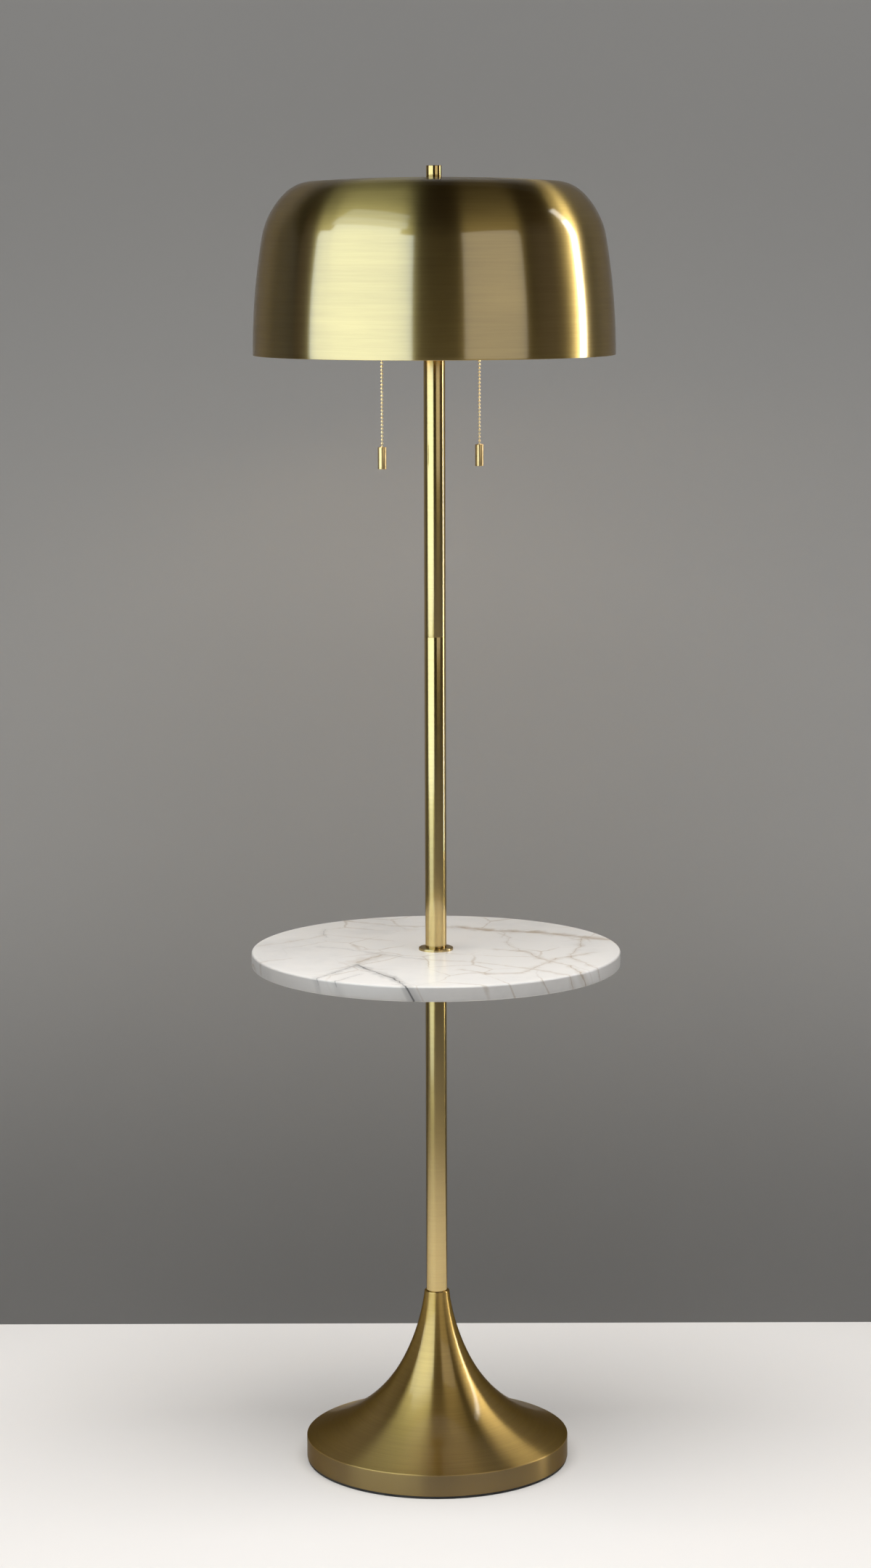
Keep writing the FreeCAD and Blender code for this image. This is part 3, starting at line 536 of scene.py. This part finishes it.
def makeBase():
    # the flare is three tangent arcs: each angle is where one arc hands over to the next
    low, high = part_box("base_cover")
    radius, floor, top = high.x, low.z, high.z
    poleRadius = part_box("lower_pole")[1].x
    wall = trumpet["wall"]
    cosines = [math.cos(math.radians(angle)) for angle in trumpet["angles"]]
    sines = [math.sin(math.radians(angle)) for angle in trumpet["angles"]]
    reach, level = trumpet["neckRadius"], top - trumpet["neckRounding"]
    spots = [(reach, level)]
    for index, bend in enumerate(trumpet["bends"]):
        reach += bend * (cosines[index] - cosines[index + 1])
        level -= bend * (sines[index + 1] - sines[index])
        spots.append((reach, level))
    rimBend = (radius - reach) / (cosines[2] - cosines[3])
    rim = floor + trumpet["skirt"]
    bends = [*trumpet["bends"], rimBend]
    outer = [spots[0]]
    for spot, bend in zip([*spots[1:], (radius, rim)], bends):
        arcTo(outer, spot, bend, trumpet["outerSteps"])
    outer[-1] = (radius, rim, trumpet["rimRounding"])
    insides = [(x - wall * cosines[i], y - wall * sines[i]) for i, (x, y) in enumerate(spots)]
    inner = [insides[0]]
    for spot, bend in zip(insides[1:], bends):
        arcTo(inner, spot, bend + wall, trumpet["innerSteps"])
    lip = top - trumpet["lipDepth"]
    bore = poleRadius + trumpet["boreGap"]
    corners = [
        (radius - wall, floor),
        (radius - wall, rim - wall),
        *inner[:0:-1],
        (insides[0][0], lip),
        (bore, lip),
        (bore, top, trumpet["boreRounding"]),
        (trumpet["neckRadius"], top, trumpet["lipRounding"]),
        *outer[1:],
        (radius, floor, trumpet["footRounding"]),
    ]
    cover = turnedPiece("trumpetCover", roundCorners(corners), trumpet["turns"])
    # the cover gets the warmer copy of the brass, and painted shade on the skirt below its rim
    hemShadedBrass = brushedBrass("hemShadedBrass", brass["coverColour"], brass["coverShadow"],
                            rim - trumpet["rimRounding"], trumpet["coat"])
    finish(cover, hemShadedBrass, "antique_brass", "stand", "base_cover")
    low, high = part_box("base_pad")
    outline = discOutline(high.x, low.z, high.z, floorPad["rounding"])
    pad = turnedPiece("floorPad", outline, floorPad["turns"])
    finish(pad, finishes["rubber"], "rubber", "stand", "base_pad")
    print("base made")


tube = dict(wall=1.2 * mm, rounding=0.35 * mm, turns=128, coat=0.45, fan=0.6, roughness=0.2)


def makePole():
    poleBrass = brushedBrass("poleBrass", brass["colour"], brass["shadow"], coat=tube["coat"],
                             fan=tube["fan"], roughness=tube["roughness"])
    for node in ("lower_pole", "middle_pole", "upper_pole"):
        low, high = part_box(node)
        outline = tubeOutline(high.x, high.x - tube["wall"], low.z, high.z, tube["rounding"])
        piece = turnedPiece(node.replace("_pole", "Tube"), outline, tube["turns"])
        finish(piece, poleBrass, "antique_brass", "stand", node)
    print("pole made")


table = dict(edge=2.5 * mm, edgeSteps=8, bore=7 * mm, boreRounding=0.3 * mm, turns=256)
collar = dict(bore=5.2 * mm, foot=0.3 * mm, rounding=1.0 * mm, turns=160)
flange = dict(
    bore=5.2 * mm, plate=3 * mm, hubRadius=15.5 * mm, poleGap=0.15 * mm, hubRounding=0.8 * mm,
    fillet=1.5 * mm, edge=1.0 * mm, topEdge=0.4 * mm, turns=160,
)


def makeTable():
    low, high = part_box("table_top")
    corners = [
        (table["bore"], low.z), (high.x, low.z, table["edge"]), (high.x, high.z, table["edge"]),
        (table["bore"], high.z, table["boreRounding"]),
    ]
    top = turnedPiece("marbleTop", roundCorners(corners, table["edgeSteps"]), table["turns"])
    finish(top, finishes["marble"], "marble", "stand", "table_top")
    low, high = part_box("table_collar")
    corners = [
        (collar["bore"], low.z), (high.x, low.z, collar["foot"]),
        (high.x, high.z, collar["rounding"]), (collar["bore"], high.z),
    ]
    ring = turnedPiece("tableCollar", roundCorners(corners), collar["turns"])
    finish(ring, finishes["antique_brass"], "antique_brass", "stand", "table_collar")
    low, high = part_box("table_flange")
    under = high.z - flange["plate"]
    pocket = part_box("lower_pole")[1].x + flange["poleGap"]
    corners = [
        (flange["bore"], high.z), (flange["bore"], under), (pocket, under), (pocket, low.z),
        (flange["hubRadius"], low.z, flange["hubRounding"]),
        (flange["hubRadius"], under, flange["fillet"]),
        (high.x, under, flange["edge"]), (high.x, high.z, flange["topEdge"]),
    ]
    hub = turnedPiece("tableFlange", roundCorners(corners), flange["turns"])
    finish(hub, finishes["antique_brass"], "antique_brass", "stand", "table_flange")
    print("table made")


dome = dict(
    wall=1.0 * mm, lean=11.5 * mm, seat=18 * mm, angles=(4.0, 44.7, 80.1),
    bends=(48.3 * mm, 93.3 * mm), rimRounding=0.4 * mm, bore=5.2 * mm,
    outerSteps=30, innerSteps=24, turns=256,
)
finialCap = dict(bore=5.2 * mm, foot=0.2 * mm, chamfer=0.6 * mm, depth=9.5 * mm, turns=128)


def makeShade():
    # four tangent arcs: crown, shoulder, lower shoulder and the wall, which leans out to the rim
    low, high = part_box("shade")
    radius, rim, top = high.x, low.z, high.z
    sines = [math.sin(math.radians(angle)) for angle in dome["angles"]]
    cosines = [math.cos(math.radians(angle)) for angle in dome["angles"]]
    upper, lower = dome["bends"]
    wallReach = radius - dome["lean"]
    shoulderReach = wallReach - lower * (sines[2] - sines[1])
    crownReach = shoulderReach - upper * (sines[1] - sines[0])
    crownBend = (crownReach - dome["seat"]) / sines[0]
    crownDrop = crownBend * (1 - cosines[0])
    shoulderDrop = crownDrop + upper * (cosines[0] - cosines[1])
    wallDrop = shoulderDrop + lower * (cosines[1] - cosines[2])
    rest = top - rim - wallDrop
    wallBend = (dome["lean"] ** 2 + rest**2) / (2 * (rest * cosines[2] - dome["lean"] * sines[2]))
    spots = [(crownReach, top - crownDrop), (shoulderReach, top - shoulderDrop),
             (wallReach, top - wallDrop)]
    bends = [crownBend, upper, lower, wallBend]
    wall = dome["wall"]
    outer, inner = [(dome["seat"], top)], [(dome["seat"], top - wall)]
    for spot, bend in zip([*spots, (radius, rim)], bends):
        arcTo(outer, spot, -bend, dome["outerSteps"])
    insides = [(x - wall * sines[i], y - wall * cosines[i]) for i, (x, y) in enumerate(spots)]
    for spot, bend in zip([*insides, (radius - wall, rim)], bends):
        arcTo(inner, spot, -(bend - wall), dome["innerSteps"])
    outer[-1] = (*outer[-1], dome["rimRounding"])
    inner[-1] = (*inner[-1], dome["rimRounding"])
    corners = [(dome["bore"], top), *outer, *inner[::-1], (dome["bore"], top - wall)]
    shade = turnedPiece("shadeDome", roundCorners(corners), dome["turns"])
    finish(shade, finishes["antique_brass"], "antique_brass", "stand", "shade")
    low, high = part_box("finial")
    corners = [
        (finialCap["bore"], low.z), (high.x, low.z, finialCap["foot"]),
        (high.x, high.z, finialCap["chamfer"]), (0, high.z), (0, low.z + finialCap["depth"]),
        (finialCap["bore"], low.z + finialCap["depth"]),
    ]
    finial = turnedPiece("finialCap", roundCorners(corners), finialCap["turns"])
    finish(finial, finishes["polished_brass"], "polished_brass", "stand", "finial")
    print("shade made")


cluster = dict(
    radius=22 * mm, bore=5.2 * mm, wall=1.5 * mm, floor=3 * mm, rounding=1.5 * mm, seam=0.2 * mm,
    turns=128,
)


def makeCluster():
    low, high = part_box("cluster_cup")
    radius, bore, inside = cluster["radius"], cluster["bore"], cluster["radius"] - cluster["wall"]
    corners = [
        (bore, low.z), (radius, low.z, cluster["rounding"]), (radius, high.z, cluster["seam"]),
        (inside, high.z), (inside, low.z + cluster["floor"]), (bore, low.z + cluster["floor"]),
    ]
    cup = turnedPiece("clusterCup", roundCorners(corners), cluster["turns"])
    finish(cup, finishes["antique_brass"], "antique_brass", "stand", "cluster_cup")
    low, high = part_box("cluster_lid")
    corners = [
        (bore, low.z), (radius, low.z, cluster["seam"]), (radius, high.z, cluster["rounding"]),
        (bore, high.z),
    ]
    lid = turnedPiece("clusterLid", roundCorners(corners), cluster["turns"])
    finish(lid, finishes["antique_brass"], "antique_brass", "stand", "cluster_lid")
    print("cluster made")


socket = dict(
    guideOffset=26 * mm, radius=17.5 * mm, bore=5.2 * mm, wall=0.8 * mm, capLength=18 * mm,
    capBend=8 * mm, outerSteps=14, innerSteps=12, lap=3 * mm, fit=0.05 * mm,
    shellLength=45 * mm, shellWall=0.6 * mm, lip=0.9 * mm, lipRounding=0.2 * mm, turns=96,
)
bulb = dict(
    radius=30 * mm, length=108.5 * mm, neck=7 * mm, capRadius=13.1 * mm, capLength=25 * mm,
    front=38 * mm, wall=0.9 * mm, ballSteps=(36, 30), neckSteps=(16, 12), turns=96,
)


def socketPlace(side):
    # the socket's own Z points outwards along its arm
    low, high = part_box(f"chain_guide_{side}")
    spot = (low + high) / 2
    low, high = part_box(f"socket_cap_{side}")
    turn = math.atan2(spot.y, spot.x)
    start = math.hypot(spot.x, spot.y) - socket["guideOffset"]
    place = (
        Matrix.Translation((0, 0, (low.z + high.z) / 2)) @ Matrix.Rotation(turn, 4, "Z")
        @ Matrix.Rotation(math.pi / 2, 4, "Y") @ Matrix.Translation((0, 0, start))
    )
    return place, spot


def makeSocket(side, place):
    radius, wall, bend = socket["radius"], socket["wall"], socket["capBend"]
    outline = [(socket["bore"], 0), (radius - bend, 0)]
    arcTo(outline, (radius, bend), bend, socket["outerSteps"])
    outline += [(radius, socket["capLength"]), (radius - wall, socket["capLength"]),
                (radius - wall, bend)]
    arcTo(outline, (radius - bend, wall), -(bend - wall), socket["innerSteps"])
    outline.append((socket["bore"], wall))
    piece = turnedPiece(f"socketCap-{side}", outline, socket["turns"], place)
    finish(piece, finishes["antique_brass"], "antique_brass", "stand", f"socket_cap_{side}")
    start = socket["capLength"] - socket["lap"]
    outer = radius - wall - socket["fit"]
    inner = outer - socket["shellWall"]
    end = start + socket["shellLength"]
    lip, rounding = socket["lip"], socket["lipRounding"]
    outline = roundCorners([
        (inner, start), (outer, start), (outer, end - 2 * lip),
        (outer + lip / 2, end - 1.5 * lip, rounding), (outer + lip / 2, end - 0.5 * lip, rounding),
        (outer, end), (inner, end),
    ])
    piece = turnedPiece(f"socketShell-{side}", outline, socket["turns"], place)
    finish(piece, finishes["antique_brass"], "antique_brass", "stand", f"socket_shell_{side}")


def makeBulb(side, place):
    ball, neckEnd = bulb["radius"], bulb["neck"]
    start = bulb["front"] + bulb["capLength"]
    centre = bulb["length"] - bulb["capLength"] - ball
    run = centre - neckEnd
    throat, wall = bulb["capRadius"], bulb["wall"]
    # the hollow arc of the neck leaves the cap upright and meets the ball without a kink
    hollow = (run**2 / (ball - throat) - (ball + throat)) / 2
    share, rise = run / (ball + hollow), (throat + hollow) / (ball + hollow)
    outline = [(throat, 0), (throat, neckEnd)]
    arcTo(outline, (ball * rise, centre - ball * share), -hollow, bulb["neckSteps"][0])
    arcTo(outline, (0, centre + ball), ball, bulb["ballSteps"][0])
    thin = ball - wall
    outline.append((0, centre + thin))
    arcTo(outline, (thin * rise, centre - thin * share), -thin, bulb["ballSteps"][1])
    arcTo(outline, (throat - wall, neckEnd), hollow + wall, bulb["neckSteps"][1])
    outline.append((throat - wall, 0))
    glass = place @ Matrix.Translation((0, 0, start))
    piece = turnedPiece(f"bulbGlass-{side}", outline, bulb["turns"], glass)
    finish(piece, finishes["bulb_glass"], "bulb_glass", "stand", f"bulb_glass_{side}")


guide = dict(
    radius=3.6 * mm, bore=2.4 * mm, mouth=1.2 * mm, mouthRounding=(0.3 * mm, 0.35 * mm),
    throatRounding=0.6 * mm, turns=64,
)


def makeGuide(side, spot):
    # a short tube that flares at its mouth, so that the chain runs freely over its edge
    low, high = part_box(f"chain_guide_{side}")
    radius, bore, mouth = guide["radius"], guide["bore"], guide["mouth"]
    throat = (low.z + 2 * mouth, guide["throatRounding"])
    innerEdge, outerEdge = guide["mouthRounding"]
    outline = roundCorners([
        (bore + mouth, low.z, innerEdge), (radius + mouth, low.z, outerEdge), (radius, *throat),
        (radius, high.z), (bore, high.z), (bore, *throat),
    ])
    place = Matrix.Translation((spot.x, spot.y, 0))
    piece = turnedPiece(f"chainGuide-{side}", outline, guide["turns"], place)
    finish(piece, finishes["polished_brass"], "polished_brass", "stand", f"chain_guide_{side}")


chain = dict(
    beadRadius=1.6 * mm, pitch=4.18 * mm, wireRadius=0.4 * mm, sides=20, rings=12, wireSides=10,
)


def beadTree():
    # beads at an even pitch down from the top one, on a thin wire
    tree = bpy.data.node_groups.new("beadChain", "GeometryNodeTree")
    tree.interface.new_socket(name="Geometry", in_out="OUTPUT", socket_type="NodeSocketGeometry")
    for label, kind in (("Top", "Vector"), ("Beads", "Int"), ("Pitch", "Float"),
                        ("Bead radius", "Float"), ("Wire radius", "Float"), ("Finish", "Material")):
        tree.interface.new_socket(name=label, in_out="INPUT", socket_type=f"NodeSocket{kind}")
    source = tree.nodes.new("NodeGroupInput").outputs
    drop = calculate(tree, "MULTIPLY", source["Pitch"], -1.0)
    step = joinVector(tree, 0.0, 0.0, drop)
    line = addNode(tree, "GeometryNodeMeshLine", {
        "Count": source["Beads"], "Start Location": source["Top"], "Offset": step,
    }, mode="OFFSET").outputs["Mesh"]
    bead = addNode(tree, "GeometryNodeMeshUVSphere", {
        "Segments": chain["sides"], "Rings": chain["rings"], "Radius": source["Bead radius"],
    }).outputs["Mesh"]
    beads = addNode(tree, "GeometryNodeInstanceOnPoints", {"Points": line, "Instance": bead})
    spine = addNode(tree, "GeometryNodeMeshToCurve", {"Mesh": line}).outputs["Curve"]
    ring = addNode(tree, "GeometryNodeCurvePrimitiveCircle", {
        "Resolution": chain["wireSides"], "Radius": source["Wire radius"],
    }).outputs["Curve"]
    wire = addNode(tree, "GeometryNodeCurveToMesh", {
        "Curve": spine, "Profile Curve": ring, "Fill Caps": True,
    }).outputs["Mesh"]
    both = tree.nodes.new("GeometryNodeJoinGeometry")
    tree.links.new(beads.outputs["Instances"], both.inputs["Geometry"])
    tree.links.new(wire, both.inputs["Geometry"])
    solid = addNode(tree, "GeometryNodeRealizeInstances", {"Geometry": both.outputs["Geometry"]})
    smooth = addNode(tree, "GeometryNodeSetShadeSmooth", {"Geometry": solid.outputs["Geometry"]})
    coat = addNode(tree, "GeometryNodeSetMaterial", {
        "Geometry": smooth.outputs["Geometry"], "Material": source["Finish"],
    })
    result = tree.nodes.new("NodeGroupOutput")
    tree.links.new(coat.outputs["Geometry"], result.inputs["Geometry"])
    return tree


beadChainTree = beadTree()


def makeChain(side, spot):
    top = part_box(f"ball_chain_{side}")[1].z - chain["beadRadius"]
    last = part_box(f"pull_knob_{side}")[1].z
    values = {
        "Top": (spot.x, spot.y, top), "Beads": round((top - last) / chain["pitch"]) + 1,
        "Pitch": chain["pitch"], "Bead radius": chain["beadRadius"],
        "Wire radius": chain["wireRadius"], "Finish": beadBrightenedBrass,
    }
    carrier = bpy.data.objects.new(f"chainSource-{side}", bpy.data.meshes.new("chainSource"))
    bpy.context.scene.collection.objects.link(carrier)
    modifier = carrier.modifiers.new("beadChain", "NODES")
    modifier.node_group = beadChainTree
    for item in beadChainTree.interface.items_tree:
        if item.in_out == "INPUT":
            modifier[item.identifier] = values[item.name]
    bpy.context.view_layer.update()
    view = carrier.evaluated_get(bpy.context.evaluated_depsgraph_get())
    mesh = bpy.data.meshes.new_from_object(view)
    bpy.data.objects.remove(carrier)
    piece = bpy.data.objects.new(f"ballChain-{side}", mesh)
    bpy.context.scene.collection.objects.link(piece)
    finish(piece, beadBrightenedBrass, "polished_brass", f"chain_{side}", f"ball_chain_{side}")


pull = dict(
    radius=5 * mm, rounding=0.5 * mm, pocket=1.95 * mm, pocketEdge=0.25 * mm,
    pocketFloor=0.8 * mm, turns=96,
)


def makeKnob(side, spot):
    low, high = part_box(f"pull_knob_{side}")
    pocket = pull["pocket"]
    outline = roundCorners([
        (0, low.z), (pull["radius"], low.z, pull["rounding"]),
        (pull["radius"], high.z, pull["rounding"]), (pocket, high.z, pull["pocketEdge"]),
        (pocket, high.z - pocket, pull["pocketFloor"]), (0, high.z - pocket),
    ])
    place = Matrix.Translation((spot.x, spot.y, 0))
    piece = turnedPiece(f"pullKnob-{side}", outline, pull["turns"], place)
    finish(piece, knobBrass, "polished_brass", f"knob_{side}", f"pull_knob_{side}")


makeBase()
makePole()
makeTable()
makeShade()
makeCluster()
for side in ("left", "right"):
    place, spot = socketPlace(side)
    makeSocket(side, place)
    makeBulb(side, place)
    makeGuide(side, spot)
    makeChain(side, spot)
    makeKnob(side, spot)
    print(side, "socket, bulb and chain made")


studio = dict(
    worldDark=(0.013, 0.009, 0.0055), worldDim=(0.1, 0.081, 0.064), worldFront=(-0.5, -0.2),
    worldRise=(0.3, 0.6),
)
# each card stands at its azimuth (degrees from the camera) and reach (metres from the pole)
keyLight = dict(azimuth=-47.5, reach=2.0, radiance=1.72, colour=(0.85, 1.02, 1.10))
lamps = {
    "keyPanel": dict(keyLight, level=1.58, width=1.9, height=2.22),
    "keyWingLeft": dict(keyLight, shift=-1.16, level=1.42, width=0.42, height=1.9),
    "keyWingRight": dict(keyLight, shift=1.16, level=1.42, width=0.42, height=1.9),
    "keyLower": dict(keyLight, radiance=0.8, level=0.29, width=1.6, height=0.36),
    "keyUpper": dict(keyLight, radiance=0.95, level=2.94, width=2.2, height=0.5),
    "keyCrown": dict(keyLight, radiance=0.55, level=3.59, width=2.1, height=0.8),
    "warmPanel": dict(azimuth=38.0, reach=2.2, level=1.76, width=1.6, height=1.48, radiance=0.68,
                      colour=(1.0, 0.96, 0.86)),
    "edgeStrip": dict(azimuth=104.0, reach=1.9, level=1.35, width=0.28, height=2.0, radiance=7.6,
                      colour=(1.0, 0.99, 0.98)),
    "edgeUpper": dict(azimuth=104.0, reach=1.9, level=2.6, width=0.28, height=0.5, radiance=3.0,
                      colour=(1.0, 0.97, 0.9)),
}
overhead = dict(level=7.0, forward=1.8, width=8.0, depth=4.6, radiance=5.1,
                colour=(1.0, 0.99, 0.98))


def makeLamp(name, place, width, height, radiance, colour, card=False):
    data = bpy.data.lights.new(name, "AREA")
    data.shape = "RECTANGLE"
    data.size, data.size_y = width, height
    data.energy = 4 * radiance * width * height
    data.color = colour
    lamp = bpy.data.objects.new(name, data)
    lamp.matrix_world = place
    lamp.visible_camera = False
    # a card is only seen in gloss, the overhead panel only lights
    lamp.visible_glossy, lamp.visible_diffuse = card, not card
    bpy.context.scene.collection.objects.link(lamp)


def makeStudio():
    for name, lamp in lamps.items():
        turn = math.radians(lamp["azimuth"])
        facing = (Matrix.Rotation(turn, 4, "Z")
                  @ Matrix.Translation((lamp.get("shift", 0.0), -lamp["reach"], lamp["level"]))
                  @ Matrix.Rotation(math.pi / 2, 4, "X"))
        makeLamp(name, facing, lamp["width"], lamp["height"], lamp["radiance"], lamp["colour"],
                 card=True)
    above = Matrix.Translation((0, -overhead["forward"], overhead["level"]))
    makeLamp("overheadPanel", above, overhead["width"], overhead["depth"],
             overhead["radiance"], overhead["colour"])
    world = bpy.data.worlds.new("studio")
    bpy.context.scene.world = world
    world.use_nodes = True
    # dark in front and above, dim on both sides and behind
    tree = world.node_tree
    split = splitVector(tree, tree.nodes.new("ShaderNodeTexCoord").outputs["Generated"])
    share = calculate(tree, "MULTIPLY", ramp(tree, split["Y"], *studio["worldFront"]),
                      ramp(tree, split["Z"], *studio["worldRise"], 1.0, 0.0))
    tone = mixColours(tree, share, studio["worldDark"], studio["worldDim"])
    feed(tree, tree.nodes["Background"].inputs["Color"], tone)
    print("lamps placed")


def makeSheet(name, corners, material):
    mesh = bpy.data.meshes.new(name)
    mesh.from_pydata(corners, [], [(0, 1, 2, 3)])
    mesh.materials.append(material)
    sheet = bpy.data.objects.new(name, mesh)
    bpy.context.scene.collection.objects.link(sheet)


def showOneSide(tree):
    # clear from the back, so that a camera below the floor or behind the wall sees the lamp
    clear = addNode(tree, "ShaderNodeBsdfTransparent").outputs[0]
    back = addNode(tree, "ShaderNodeNewGeometry").outputs["Backfacing"]
    output = next(node for node in tree.nodes if node.type == "OUTPUT_MATERIAL")
    shader = output.inputs["Surface"].links[0].from_socket
    both = addNode(tree, "ShaderNodeMixShader", {0: back, 1: shader, 2: clear})
    tree.links.new(both.outputs[0], output.inputs["Surface"])


def fade(tree, value, near, far, rest):
    # full up to near, and only the rest of it from far on
    return ramp(tree, value, near, far, 1.0, rest)


# the floor's colour is pale near the lamp and painted darker further out, from the first distance
# to the second, down to the last share: painted light round the lamp
paleFloor = dict(
    colour=(0.80, 0.785, 0.768), roughness=0.45, gloss=0.1, half=20.0, paintedLightPool=(0.65, 1.75, 0.26),
    unevenScale=0.8, unevenTone=0.97,
)


def makeFloor():
    material, tree, sockets, place = newMaterial(
        "paleFloor", Roughness=paleFloor["roughness"], Specular_IOR_Level=paleFloor["gloss"],
    )
    # painted light: the floor is painted pale round the lamp and darker further out, standing in
    # for light that falls off
    paintedLightPool = fade(tree, measure(tree, "LENGTH", place), *paleFloor["paintedLightPool"])
    uneven = ramp(tree, noise(tree, place, paleFloor["unevenScale"], 2.0), 0.3, 0.7,
                  paleFloor["unevenTone"], 1.0)
    tone = mixColours(tree, calculate(tree, "MULTIPLY", paintedLightPool, uneven), (0, 0, 0),
                      paleFloor["colour"])
    feed(tree, sockets["Base Color"], tone)
    showOneSide(tree)
    half = paleFloor["half"]
    makeSheet("studioFloor", [(-half, -half, 0), (half, -half, 0), (half, half, 0),
                              (-half, half, 0)], material)


# the wall's colour is painted darker towards its sides, its foot and above mid-height, and darkest
# at the top: painted shade where the studio light falls off
backWall = dict(
    colour=(0.415, 0.415, 0.41), roughness=0.9, distance=0.54, half=4.0, height=2.8,
    sides=(0.58, 1.2, 0.5), foot=(0.0, 0.7, 0.5), upper=(0.95, 1.65, 0.8), top=(1.8, 2.3, 0.15),
)


def makeWall():
    material, tree, sockets, place = newMaterial(
        "greyWall", Roughness=backWall["roughness"], Specular_IOR_Level=0.0,
    )
    # painted shade: darker to the sides, at the foot and towards the top, as the light falls off
    # there
    split = splitVector(tree, place)
    side = fade(tree, calculate(tree, "ABSOLUTE", split["X"]), *backWall["sides"])
    foot = ramp(tree, split["Z"], *backWall["foot"], 1.0)
    lift = calculate(tree, "MULTIPLY", foot, fade(tree, split["Z"], *backWall["upper"]))
    crown = fade(tree, split["Z"], *backWall["top"])
    shade = calculate(tree, "MULTIPLY", calculate(tree, "MULTIPLY", side, lift), crown)
    tone = mixColours(tree, shade, (0, 0, 0), backWall["colour"])
    feed(tree, sockets["Base Color"], tone)
    showOneSide(tree)
    half, back, top = backWall["half"], backWall["distance"], backWall["height"]
    makeSheet("studioWall", [(-half, back, 0), (half, back, 0), (half, back, top),
                             (-half, back, top)], material)
    print("floor and wall made")


# lens and sensor in mm, pitch in degrees, roll in radians
camera = dict(lens=83.64, sensor=36.0, place=(0, -4.233, 1.4546), pitch=8.53, roll=-0.0028)


def makeCamera():
    data = bpy.data.cameras.new("viewer")
    data.lens, data.sensor_width = camera["lens"], camera["sensor"]
    viewer = bpy.data.objects.new("viewer", data)
    viewer.matrix_world = (
        Matrix.Translation(camera["place"])
        @ Matrix.Rotation(math.radians(90 - camera["pitch"]), 4, "X")
        @ Matrix.Rotation(camera["roll"], 4, "Z")
    )
    bpy.context.scene.collection.objects.link(viewer)
    bpy.context.scene.camera = viewer
    bpy.context.scene.view_settings.view_transform = "Standard"


makeStudio()
makeFloor()
makeWall()
makeCamera()
